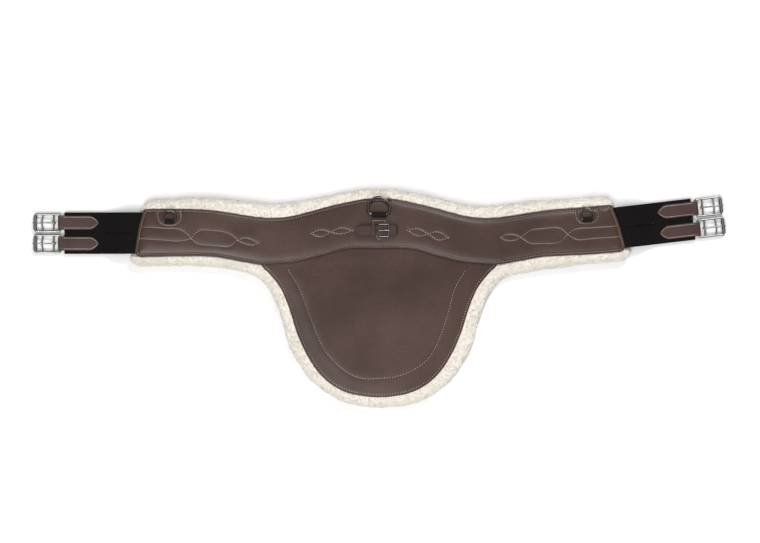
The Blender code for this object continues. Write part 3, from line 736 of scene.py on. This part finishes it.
GIRTH_EDGE = curve_through(lay(mirrored(GIRTH_HALF)), 2.5 * MM, closed=True)
GUARD_EDGE = curve_through(lay(mirrored(GUARD_TUCK_HALF + GUARD_EDGE_HALF)), 2.5 * MM, closed=True)
BELOW_WAIST = [p for p in GIRTH_HALF if p[1] > 0 or p[0] >= 240]
BACKING_EDGE = curve_through(lay(mirrored(BELOW_WAIST + [(226, -57.5)] + GUARD_EDGE_HALF)), 2.5 * MM, True)
FLEECE_EDGE = fuller(curve_through(lay(mirrored(FLEECE_HALF)), 2.2 * MM, closed=True))
PANEL_LINES = [curve_through(lay(line), 1.2 * MM) for line in PANEL_STITCHING]
for side_u in (-SIDE_RING_U / MM, SIDE_RING_U / MM):
    PANEL_LINES.append(curve_through(lay([(side_u + u, v) for u, v in RING_STITCHING]), 1.2 * MM))
GUARD_LINE = curve_through(lay(GUARD_STITCHING), 1.2 * MM)
LEATHER_THICKNESS = 2.2 * MM


def girth_height(xy):
    """Height of the girth panel's upper face: padded, drawn down at its edge and its stitching."""
    depth = distance_to(xy, GIRTH_EDGE, True) / MM
    u, v = ((xy - ORIGIN_SHIFT) / MM).T
    over_guard = smooth_step((236 - np.abs(u)) / 16) * smooth_step((4 - v) / 12)
    swelling = (4.4 - 0.8 * over_guard) * (1 - np.exp(-np.maximum(depth - 4.5, 0) / 8))
    height = 23.0 + 0.8 * over_guard + swelling
    height += 0.8 * np.sin(pi * np.clip(depth / 4.5, 0, 1))
    height -= 0.5 * np.exp(-((depth - 4.5) / 0.7) ** 2)
    beside = np.min([distance_to(xy, line) for line in PANEL_LINES], axis=0) / MM
    height -= 0.5 * np.exp(-(beside / 0.75) ** 2) + 0.55 * np.exp(-(beside / 4.0) ** 2)
    swell = smooth_step((depth - 8) / 14)
    return (height + swell * (0.28 * waves(xy, 0.11, 3) + 0.12 * waves(xy, 0.045, 4))) * MM


def guard_height(xy):
    """Height of the belly guard's upper face: its border slopes up to an inner line of stitches."""
    depth = distance_to(xy, GUARD_EDGE, True) / MM
    beside = distance_to(xy, GUARD_LINE) / MM
    y = (xy[:, 1] - ORIGIN_SHIFT[1]) / MM
    below_panel = smooth_step((-y - 58) / 30)
    ramp_up = np.clip(depth / 34, 0, 1)
    height = 19.4 + 1.7 * ramp_up + below_panel * (0.2 + 2.2 * ramp_up)
    height += 0.5 * np.sin(pi * np.clip(depth / 4.5, 0, 1))
    height -= 0.5 * np.exp(-((depth - 4.5) / 0.7) ** 2)
    height -= 0.5 * np.exp(-(beside / 0.75) ** 2) + below_panel * 0.5 * np.exp(-(beside / 6.0) ** 2)
    swell = smooth_step((depth - 6) / 16) * below_panel
    return (height + swell * (0.35 * waves(xy, 0.16, 7) + 0.12 * waves(xy, 0.06, 8))) * MM


def leather_layer(name, node, outline, depths, pitch, top, thickness, lines=()):
    """A leather piece of the girth: its upper face follows top(xy), and its edge is rounded and burnished."""
    xy = cover(outline, depths, pitch, lines)
    faces = triangulate(xy, len(outline))
    depth = distance_to(xy, outline, True)
    depth[:len(outline)] = 0
    half = thickness / 2
    round_off = np.sqrt(1 - (1 - np.clip(depth / half, 0, 1)) ** 2)
    middle = top(xy) - half
    upper = np.column_stack([xy, middle + half * round_off])
    lower = np.column_stack([xy, middle - half * round_off])
    verts, faces = joined_at_edge(upper, faces, lower, faces, len(outline))
    burnish = 0.85 * (1 - smooth_step((distance_to(verts[:, :2], outline, True) / MM - 0.2) / 0.7))
    piece(name, [(verts, faces)], LEATHER, "girth", node, burnish)


def inset_line(edge, inset, closed=True):
    """The line that runs inside an edge at this distance."""
    line = edge + (inward(edge) if closed else -sideways(edge)) * inset
    line = line[distance_to(line, edge, closed) > inset * 0.98]
    return resample(line, 1.2 * MM, closed)


def padding(name, node, outline, top, floor):
    """A foam layer between two faces, given by their heights over (x, y)."""
    xy = cover(outline, [1 * MM, 3 * MM], 7 * MM)
    faces = triangulate(xy, len(outline))
    high, low = top(xy), floor(xy)
    rounding = np.sqrt(np.clip(distance_to(xy, outline, True) / (3 * MM), 0, 1))
    rounding[:len(outline)] = 0
    middle = (high + low) / 2
    upper = np.column_stack([xy, middle + (high - middle) * rounding])
    lower = np.column_stack([xy, middle - (middle - low) * rounding])
    verts, faces = joined_at_edge(upper, faces, lower, faces, len(outline))
    piece(name, [(verts, faces)], FOAM, "girth", node)


def panels():
    rings = np.array([0.12, 0.35, 0.8, 1.5, 2.5, 3.4, 4.0, 4.5, 5.0, 5.7, 7.0, 9.0, 12.0, 16.0]) * MM
    leather_layer("girth_panel_leather", "girth_panel", GIRTH_EDGE, rings, 4 * MM, girth_height,
                  LEATHER_THICKNESS, PANEL_LINES)
    leather_layer("belly_guard_leather", "belly_guard", GUARD_EDGE, rings, 4.5 * MM, guard_height,
                  LEATHER_THICKNESS, [GUARD_LINE])

    def under_girth(xy):
        return girth_height(xy) - LEATHER_THICKNESS - LAYER_GAP

    def over_guard(xy):
        covered = inside(xy, GUARD_EDGE) | (distance_to(xy, GUARD_EDGE, True) < 4 * MM)
        return np.where(covered, 21.5 * MM, 18.9 * MM)

    padding("girth_foam", "girth_padding", inset_line(GIRTH_EDGE, 8 * MM), under_girth, over_guard)
    low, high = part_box("belly_padding")
    belly = inset_line(GUARD_EDGE, 11 * MM)
    belly = np.column_stack([belly[:, 0], np.minimum(belly[:, 1], high.y)])
    belly = resample(belly, 4 * MM, True)
    padding("belly_foam", "belly_padding", belly, lambda xy: guard_height(xy) - LEATHER_THICKNESS - LAYER_GAP,
            lambda xy: np.full(len(xy), low.z))

    hem = [(219, -53)] + GUARD_EDGE_HALF
    hem = curve_through(lay(hem + [(-u, v) for u, v in reversed(hem[:-1])]), 2.5 * MM)
    rows = [(inset_line(GIRTH_EDGE, EDGE_STITCH_INSET), girth_height, True)]
    rows += [(line, girth_height, False) for line in PANEL_LINES]
    rows.append((inset_line(hem, EDGE_STITCH_INSET, closed=False), guard_height, False))
    rows.append((GUARD_LINE[8:-8], guard_height, False))
    piece("leather_stitches", [stitches(*row) for row in rows], THREAD, body="girth")
    piece("leather_stitch_hole_shade", [needle_hole_shade(*row) for row in rows], HOLE_SHADE, body="girth")


# The fleece.

CURL_SIZE = 6.2 * MM
FIBRE_SIZE = 2.8 * MM
LOCK_COUNT = 18000


def end_place(side):
    """The frame of one straight end: +X runs out along it."""
    if side > 0:
        turn = BEND_ANGLE
        foot = lay((BEND_END / MM, 0))[0] - np.array([cos(turn), sin(turn)]) * BEND_END
    else:
        turn = pi
        foot = lay((0, 0))[0]
    return Matrix.Translation((*foot, 0)) @ Matrix.Rotation(turn, 4, "Z")


def under_straps(xy):
    """1 where the elastics leave the girth over the fleece, 0 away from them."""
    covered = np.zeros(len(xy))
    for side in (-1, 1):
        local = moved(np.column_stack([xy, np.zeros(len(xy))]), end_place(side).inverted())
        u, v = local[:, 0] / MM, local[:, 1] / MM * side
        edge = EDGE_U / MM - EDGE_SLANT * v
        covered = np.maximum(covered, smooth_step((u - edge + 14) / 8) * smooth_step((43.5 - np.abs(v)) / 4))
    return covered


def clumps(verts):
    """Rounded curls of wool at each vertex, from 0 between them to 1 on top."""
    near = np.array([noise.voronoi(v / CURL_SIZE)[0][0] for v in verts])
    fine = np.array([noise.noise(v / FIBRE_SIZE) for v in verts])
    return np.clip(1 - np.minimum(1, near) ** 1.6 + 0.22 * fine, 0, 1)


def fleece_heights(xy):
    """The pile's upper and lower heights: it stands up round the leather and rounds off outside."""
    out = np.where(inside(xy, BACKING_EDGE), -1, 1) * distance_to(xy, BACKING_EDGE, True) / MM
    edge = distance_to(xy, FLEECE_EDGE, True) / MM
    below_panel = smooth_step((ORIGIN_SHIFT[1] - xy[:, 1] - 54 * MM) / (14 * MM))
    top = 14.0 + (6.8 - 1.8 * below_panel) * smooth_step((out + 6) / 7) * (1 - under_straps(xy))
    middle = 7.0
    over = np.sqrt(1 - (1 - np.clip(edge / 13, 0, 1)) ** 2)
    under = np.sqrt(1 - (1 - np.clip(edge / 8, 0, 1)) ** 2)
    return (middle + (top - middle) * over) * MM, (middle * (1 - under)) * MM, out


def fleece():
    rings = np.array([0.5, 1.4, 2.7, 4.2, 5.9, 7.7, 9.5, 11.5, 13.5, 15.5, 17.5, 19.5, 22, 25, 29, 34]) * MM
    top_xy = cover(FLEECE_EDGE, rings, 7 * MM)
    low_xy = cover(FLEECE_EDGE, rings[:8], 3.6 * MM)
    top, _, out = fleece_heights(top_xy)
    _, low, _ = fleece_heights(low_xy)
    upper, lower = np.column_stack([top_xy, top]), np.column_stack([low_xy, low])
    edge_count = len(FLEECE_EDGE)
    verts, faces = joined_at_edge(upper, triangulate(top_xy, edge_count), lower,
                                  triangulate(low_xy, edge_count), edge_count)
    curls = clumps(verts)
    # The curl heights also paint shade into the wool's colour, darker down between the curls.
    obj = piece("sheepskin", [(verts, faces)], WOOL, "girth", "fleece_lining", curls)
    normals = np.array([vertex.normal for vertex in obj.data.vertices])
    showing = np.ones(len(verts))
    showing[:len(top_xy)] = smooth_step((out + 5) / 4) * (1 - 0.75 * under_straps(top_xy))
    swell = (curls * 2.4 - 1.6) * showing * MM
    bent = verts + normals * swell[:, None]
    bent[:, 2] = np.maximum(bent[:, 2], 0.15 * MM)
    obj.data.vertices.foreach_set("co", bent.ravel())
    obj.data.update()
    locks(bent, np.array(faces), normals)


def locks(verts, faces, normals):
    """Curly ends of wool all over the pile that shows round the leather."""
    rng = np.random.default_rng(11)
    a, b, c = (verts[faces[:, i]] for i in range(3))
    area = np.linalg.norm(np.cross(b - a, c - a), axis=1) / 2
    middle = (a + b + c) / 3
    _, _, out = fleece_heights(middle[:, :2])
    weight = area * ((out > 0.6) & (middle[:, 2] > 2.5 * MM)) * (under_straps(middle[:, :2]) < 0.1)
    chosen = rng.choice(len(faces), LOCK_COUNT, p=weight / weight.sum())
    r, s = np.sqrt(rng.random(len(chosen))), rng.random(len(chosen))
    share = np.column_stack([1 - r, r * (1 - s), r * s])
    root = sum(share[:, i:i + 1] * verts[faces[chosen, i]] for i in range(3))
    normal = unit(sum(share[:, i:i + 1] * normals[faces[chosen, i]] for i in range(3)))
    heading = 5 * waves(root[:, :2], 0.05, 21) + rng.normal(0, 0.7, len(root))
    lean = np.column_stack([np.cos(heading), np.sin(heading), rng.normal(0, 0.3, len(root))])
    lean = unit(lean - (lean * normal).sum(1, keepdims=True) * normal)
    side = np.cross(normal, lean)
    length = rng.uniform(4.0, 7.5, len(root))[:, None] * MM
    curl = rng.uniform(0.2, 0.9, len(root))[:, None] * MM
    rows = [root + normal * (length * (0.42 * t - 0.3 * t * t) - 0.9 * MM)
            + lean * length * 0.85 * t + side * curl * (1 - cos(4.0 * t)) for t in (0.0, 0.35, 0.7, 1.0)]
    thick = np.array([1.15, 1.1, 0.8, 0.1]) * MM
    mesh = np.stack([row + t * (cos(k) * side + sin(k) * normal)
                     for row, t in zip(rows, thick) for k in (0, 2.094, 4.189)], 1)
    mesh[..., 2] = np.maximum(mesh[..., 2], 0.1 * MM)
    quads = (np.arange(len(root))[:, None, None] * 12 + np.array(lofted(4, 3))).reshape(-1, 4)
    # Painted shade: each lock darkens towards its root, down in the pile, times a random tone for each lock.
    tone = np.outer(rng.uniform(0.75, 1, len(root)), np.repeat([0.5, 0.7, 0.9, 1.0], 3)).ravel()
    piece("wool_locks", [(mesh.reshape(-1, 3), quads.tolist())], WOOL, "girth", values=tone)


# The end straps and their buckles.

def strap(label, end, y, v, side):
    """One elastic, its chape with its stitches, and its roller buckle."""
    lean = -EDGE_SLANT * side
    pivot_u = EDGE_U - EDGE_SLANT * v + PIVOT_BEYOND_EDGE
    place = end @ Matrix.Translation((pivot_u, y, ELASTIC_Z))
    seam = SEAM_BEYOND_PIVOT
    reach = ELASTIC_END_U - pivot_u
    half_width = ELASTIC_WIDTH / 2
    base = [(x * MM, 0.0) for x in (-28, -20, -12, -8, -5, -3, -2, -1, 0, 1, 2, 3, 4, 5, 6, 8)]
    base.append((seam, 0.0))
    hinge = JOINTS["flex_" + label]
    out = Vector(hinge["axis"]).cross((0, 0, 1))
    if out.dot(end.to_3x3() @ Vector((1, 0, 0))) < 0:
        out = -out
    part = ribbon(base, lambda s: half_width, elastic_section, place, lambda t: lean, (True, False))
    root = piece("elastic_base_" + label, [part], ELASTIC)
    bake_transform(root)
    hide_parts("elastic_sewn_end_" + label)

    stations = np.linspace(seam, reach, 48)
    fall = smooth_step((stations + pivot_u - DROP_START_U) / (DROP_END_U - DROP_START_U))
    route = np.column_stack([stations, (BUCKLE_Z - ELASTIC_Z) * fall])
    part = ribbon(route, lambda s: half_width, elastic_section, place,
                  lambda t: lean * (1 - t), (False, True))
    free = piece("elastic_" + label + "_web", [part], ELASTIC)
    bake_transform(free)
    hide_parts("elastic_" + label)
    rear_bar = end @ Matrix.Translation((REAR_BAR_U, y, BUCKLE_Z))
    chape(label, rear_bar)
    buckle(label, rear_bar)


def chape_half_width(s):
    if s > CHAPE_POINT:
        return CHAPE_HALF_WIDTH
    return CHAPE_HALF_WIDTH * (0.06 + 0.94 * (1 - (1 - s / CHAPE_POINT) ** 1.9))


def chape_rise(x):
    """Height of a chape layer's middle over the strap's middle, x from the buckle's rear bar."""
    return 2.65 * MM + (CHAPE_LOOP - 2.65 * MM) * smooth_step((np.asarray(x) + 22 * MM) / (20 * MM))


def chape(label, place):
    tip = [0, 0.6, 1.4, 2.6, 4, 5.5, 7.5, 10, 12.5, 15, 17, 19, 24, 30, 36, 42, 48, 52, 56, 60, 64, 67.5]
    top = [(-CHAPE_TOP_LENGTH + d * MM, chape_rise(-CHAPE_TOP_LENGTH + d * MM)) for d in tip]
    back = [(-x * MM, -chape_rise(-x * MM)) for x in (3.5, 7, 11, 15, 20, 28, 36, 44, 52)]
    back.append((-CHAPE_BACK_LENGTH, -chape_rise(-CHAPE_BACK_LENGTH)))
    route = top + arc((0, 0), CHAPE_LOOP, 90, -90, 14) + back
    part = ribbon(route, chape_half_width, leather_section(CHAPE_THICKNESS, groove=2.7), place)
    body = "chape_" + label
    piece(body + "_leather", [part], CHAPE_LEATHER, body, body)
    along = np.concatenate([np.linspace(63, 20, 12), np.linspace(17, 4.2, 9)])
    half = [(s * MM - CHAPE_TOP_LENGTH, chape_half_width(s * MM) - 2.7 * MM) for s in along]
    line = [(x, -y) for x, y in half] + half[::-1]
    seam = stitches(curve_through(line, 1 * MM),
                    lambda xy: chape_rise(xy[:, 0]) + CHAPE_THICKNESS / 2 - 0.3 * MM,
                    place=place, pitch=CHAPE_STITCH_PITCH)
    piece("chape_stitches_" + label, [seam], THREAD, body=body)


def rounded_box(left, right, low, high, corner, steps):
    """A closed path round a box, clockwise from its upper left corner."""
    path = []
    for x, y, start in ((left + corner, high - corner, 180), (right - corner, high - corner, 90),
                        (right - corner, low + corner, 0), (left + corner, low + corner, -90)):
        path += arc((x, y), corner, start, start - 90, steps)
    return path


def flat_path(points):
    return [(x, y, 0.0) for x, y in points]


def frame_path(length, half, corner):
    path = rounded_box(0, length, -half, half, corner, 8)
    return flat_path(path[9:] + path[:9])


def tongue(bar, wire, points, step, eye_end, eye_steps, tapered, place):
    """A buckle's tongue: an eye round its bar, then a shank through the points that tapers to its tip."""
    eye = bar + RUNNING_GAP + wire
    run = curve_through([(0, eye)] + points, step)
    path = arc((0, 0), eye, -20, eye_end, eye_steps) + [tuple(p) for p in run]
    radii = np.concatenate([np.ones(len(path) - tapered), np.linspace(1, 0.6, tapered)])
    return tube([(x, 0.0, z) for x, z in path], wire, place, (0, 1, 0), radii=radii)


def buckle(label, place):
    parts = [tube(frame_path(FRAME_LENGTH, FRAME_HALF_WIDTH, FRAME_CORNER), FRAME_WIRE, place, closed=True)]
    across = np.linspace(-1, 1, 13)
    for x, rise, wire in ((TONGUE_BAR_X, 0, TONGUE_BAR_WIRE), (BOW_BAR_X, BOW_BAR_RISE, BOW_BAR_WIRE)):
        bar = [(x + rise * (1 - t * t), t * FRAME_HALF_WIDTH) for t in across]
        parts.append(tube(flat_path(bar), wire, place))
    piece("buckle_wires_" + label, parts, STEEL, "buckle_" + label, "buckle_frame_" + label)

    half = ROLLER_LENGTH / 2
    r, b = ROLLER_RADIUS, ROLLER_BORE
    profile = [(r - 0.35 * MM, -half), (r, 0.35 * MM - half), (r, half - 0.35 * MM), (r - 0.35 * MM, half),
               (b + 0.2 * MM, half), (b, half - 0.2 * MM), (b, 0.2 * MM - half), (b + 0.2 * MM, -half)]
    part = turned(profile, place @ Matrix.Translation((FRAME_LENGTH, 0, 0)))
    body = "roller_" + label
    roller = piece(body, [part], STEEL, body, "buckle_" + body)
    roller.data.set_sharp_from_angle(angle=radians(35))

    shank = FRAME_LENGTH - TONGUE_BAR_X
    rest = ROLLER_RADIUS + LAYER_GAP + TONGUE_WIRE
    points = [(shank * 0.55, rest * 0.9), (shank, rest), (shank + 3.8 * MM, rest - 0.9 * MM)]
    part = tongue(TONGUE_BAR_WIRE, TONGUE_WIRE, points, 2 * MM, -262, 22, 6,
                  place @ Matrix.Translation((TONGUE_BAR_X, 0, 0)))
    body = "tongue_" + label
    piece(body, [part], STEEL, body, "buckle_" + body)


# The D-rings and the small buckled strap.

def d_ring(name, ring, u):
    bar = Vector(JOINTS[name + "_ring_swing"]["pos_m"])
    turn = min(max(0.0, u - BEND_START), BEND_END - BEND_START) / BEND_RADIUS
    holder = Matrix.Translation(bar) @ Matrix.Rotation(turn, 4, "Z")
    flank = ring["half"] - ring["bar"]
    quarter = np.radians(np.linspace(0, 90, 12))
    right = [(ring["bar"] + flank * sin(a), ring["low"] * (1 - cos(a))) for a in quarter]
    dome = np.radians(np.linspace(0, 180, 36)[1:-1])
    top = [(ring["half"] * cos(a), ring["low"] + ring["arc"] * sin(a)) for a in dome]
    left = [(-a, b) for a, b in reversed(right)]
    straight = [(x * ring["bar"], 0.0) for x in (-0.8, -0.4, 0, 0.4, 0.8)]
    path = flat_path(right + top + left + straight)
    wire = tube(path, ring["wire"], holder @ Matrix.Rotation(RING_TILT, 4, "X"), closed=True)
    piece(name + "_ring_wire", [wire], DARK_STEEL, name + "_ring", name + "_d_ring")

    loop = ring["wire"] + TAB_CLEARANCE + TAB_THICKNESS / 2
    reach = loop + 2.2 * MM
    foot = TAB_FOOT_Z - bar.z
    route = [(0.8 * MM - reach, foot), (0.8 * MM - reach, -loop - 0.5 * MM), (1.6 * MM - reach, -loop)]
    route += arc((0, 0), loop, -90, 90, 14)
    route += [(1.6 * MM - reach, 0.8 * loop), (-0.8 * MM - reach, 0), (-0.8 * MM - reach, foot)]
    half = ring["tab"] / 2
    part = ribbon(route[::-1], lambda s: half, leather_section(TAB_THICKNESS, crown=0), holder @ QUARTER_TURN)
    piece(name + "_ring_web", [part], WEBBING, "girth", name + "_ring_tab")


def patch():
    """The pointed leather patch sewn on under the small strap."""
    outline = resample(lay(mirrored(PATCH_HALF)), 1.2 * MM, True)
    line = inset_line(outline, 2.2 * MM)

    def top(xy):
        depth = distance_to(xy, outline, True) / MM
        lift = 1.3 - 0.22 * np.exp(-((depth - 2.2) / 0.5) ** 2)
        return girth_height(xy) + lift * MM

    rings = np.array([0.1, 0.3, 0.7, 1.2, 1.7, 2.2, 2.7, 3.4]) * MM
    leather_layer("center_patch_leather", "center_patch", outline, rings, 2.2 * MM, top, 1.2 * MM)
    seam = stitches(line, top, closed=True, pitch=PATCH_STITCH_PITCH)
    piece("patch_stitches", [seam], THREAD, body="girth")


def carve(obj, boxes):
    """Cuts boxes, given by their centres and sizes, out of a mesh object."""
    for center, size in boxes:
        bpy.ops.mesh.primitive_cube_add(size=1, location=center)
        cutter = bpy.context.object
        cutter.scale = size
        cut = obj.modifiers.new("Cut", "BOOLEAN")
        cut.operation = "DIFFERENCE"
        cut.object = cutter
        bpy.context.view_layer.update()
        evaluated = obj.evaluated_get(bpy.context.evaluated_depsgraph_get())
        mesh = bpy.data.meshes.new_from_object(evaluated)
        obj.modifiers.clear()
        obj.data = mesh
        bpy.data.objects.remove(cutter)


def center_strap():
    bar = Vector(JOINTS["center_buckle_swing"]["pos_m"])
    place = Matrix.Translation(bar)
    low = STRAP_LOW_Z - bar.z
    left_fold = (-STRAP_LOOP + low) / 2
    right_fold = 2.7 * MM
    route = [(-6.2 * MM, -0.35 * MM), (-4.4 * MM, 0.5 * MM), (-2.3 * MM, 1.8 * MM)]
    route += arc((0, 0), STRAP_LOOP, 100, -90, 14)
    route += [(x * MM, -STRAP_LOOP) for x in (-6, -12, -20, -28)]
    route += arc((-33 * MM, left_fold), -STRAP_LOOP - left_fold, 90, 270, 8)
    route += [(x * MM, low) for x in (-24, -12, 0, 12, 22)]
    route += arc((30 * MM, low + right_fold), right_fold, -90, 90, 12)
    billet = [(24, 0.5), (17, 1.2), (12, 2.1), (6, 3.5), (2, 4.1), (-2, 4.0), (-5, 3.2), (-8.5, 1.9)]
    billet += [(-14.5, 1.0), (-25, 0.4), (-34, 0.0), (-38, -0.1), (-41, -0.2), (-43, -0.3)]
    route += [tuple(p) for p in curve_through([(a * MM, b * MM) for a, b in billet], 1.6 * MM)]
    total = sum(dist(a, b) for a, b in zip(route, route[1:]))

    def half_width(s):
        return STRAP_HALF_WIDTH * min(1.0, 0.15 + 0.85 * (max(total - s, 0) / STRAP_POINT) ** 0.7)

    part = ribbon(route, half_width, leather_section(STRAP_THICKNESS, groove=1.9, crown=0.1 * MM), place)
    obj = piece("center_strap_leather", [part], STRAP_LEATHER)
    carve(obj, [((bar.x, bar.y, bar.z - 0.3 * MM), (8.4 * MM, 3.0 * MM, 7.2 * MM)),
                ((bar.x + 3.4 * MM, bar.y, bar.z + 4.6 * MM), (14 * MM, 3.0 * MM, 5.0 * MM))])
    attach(obj, "girth")
    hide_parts("center_strap")

    tilted = place @ Matrix.Rotation(-STRAP_FRAME_TILT, 4, "Y")
    path = frame_path(STRAP_FRAME_LENGTH, STRAP_FRAME_HALF, 1.8 * MM)
    rim = tube(path, STRAP_FRAME_WIRE, tilted, closed=True, sides=14)
    piece("center_buckle_wires", [rim], STEEL, "center_buckle", "center_buckle_frame")
    over = STRAP_FRAME_WIRE + LAYER_GAP + STRAP_TONGUE_WIRE
    points = [(STRAP_FRAME_LENGTH * 0.6, over * 1.02), (STRAP_FRAME_LENGTH, over),
              (STRAP_FRAME_LENGTH + 1.6 * MM, over - 0.3 * MM)]
    part = tongue(STRAP_FRAME_WIRE, STRAP_TONGUE_WIRE, points, 1.5 * MM, -255, 20, 5, tilted)
    piece("center_tongue_wire", [part], STEEL, "center_tongue", "center_buckle_tongue")

    wall = 1.0 * MM
    half = STRAP_HALF_WIDTH + 0.4 * MM + wall / 2
    floor = STRAP_LOW_Z + STRAP_THICKNESS / 2 + LAYER_GAP + wall / 2
    roof = bar.z + 3.7 * MM + wall / 2
    loop = rounded_box(-half, half, floor, roof, 1.5 * MM, 5)
    around = Matrix.Translation((bar.x + KEEPER_X, bar.y, 0)) @ QUARTER_TURN
    part = ribbon(loop, lambda s: 3.65 * MM, leather_section(wall, crown=0.1 * MM), around, closed=True)
    piece("center_keeper_leather", [part], STRAP_LEATHER, "keeper", "center_keeper")


# The floor, the light and the camera.

def stage():
    bpy.ops.mesh.primitive_plane_add(size=14, location=(0, 0, -0.0003))
    floor = bpy.context.object
    floor.name = "floor"
    floor.data.materials.append(look("pale_floor", grey(0.93), 0.9)[0])

    world = bpy.data.worlds.new("studio")
    bpy.context.scene.world = world
    world.use_nodes = True
    tree = world.node_tree
    direction = add(tree, "TexCoord", {}).outputs["Generated"]
    height = add(tree, "SeparateXYZ", {"Vector": direction}).outputs["Z"]
    sky = ramp(tree, height, [(0.0, grey(0.02)), (0.5, grey(0.05)), (0.86, grey(1.0)), (1.0, grey(1.0))])
    tree.links.new(sky, tree.nodes["Background"].inputs["Color"])
    tree.nodes["Background"].inputs["Strength"].default_value = 0.8

    for name, place, size, power in (
            ("key_light", (0.8, 2.1, 1.9), (0.9, 0.6), 38), ("soft_box", (-1.5, -1.8, 4.2), (2.2, 2.0), 66),
            ("rim_light", (-0.3, -2.2, 2.7), (2.2, 0.25), 46)):
        light = bpy.data.lights.new(name, "AREA")
        light.shape = "RECTANGLE"
        light.size, light.size_y = size
        light.energy = power
        aim = Vector((0, 0.05, 0)) - Vector(place)
        placed(name, light, place).rotation_euler = aim.to_track_quat("-Z", "Y").to_euler()

    lens = bpy.data.cameras.new("camera")
    lens.lens = 100
    lens.sensor_width = 36
    lens.clip_end = 50
    bpy.context.scene.camera = placed("camera", lens, (0.0011, 0.0482, 3.877))
    bpy.context.scene.view_settings.view_transform = "Standard"


def finish_cad_nodes():
    """Materials for the CAD pieces that stay as they are, inside the girth."""
    for name in ("core_web_upper", "core_web_lower", "lining_leather"):
        materials = frame["nodes"][name].data.materials
        materials.clear()
        materials.append(LINING if name == "lining_leather" else WEBBING)


panels()
fleece()
for side_name, side_sign in (("left", -1), ("right", 1)):
    for level_name, level in (("upper", 1), ("lower", -1)):
        strap(f"{level_name}_{side_name}", end_place(side_sign), level * side_sign * STRAP_V,
              level * STRAP_V, side_sign)
d_ring("center", CENTER_RING, 0.0)
d_ring("left", SIDE_RING, -SIDE_RING_U)
d_ring("right", SIDE_RING, SIDE_RING_U)
patch()
center_strap()
finish_cad_nodes()
stage()
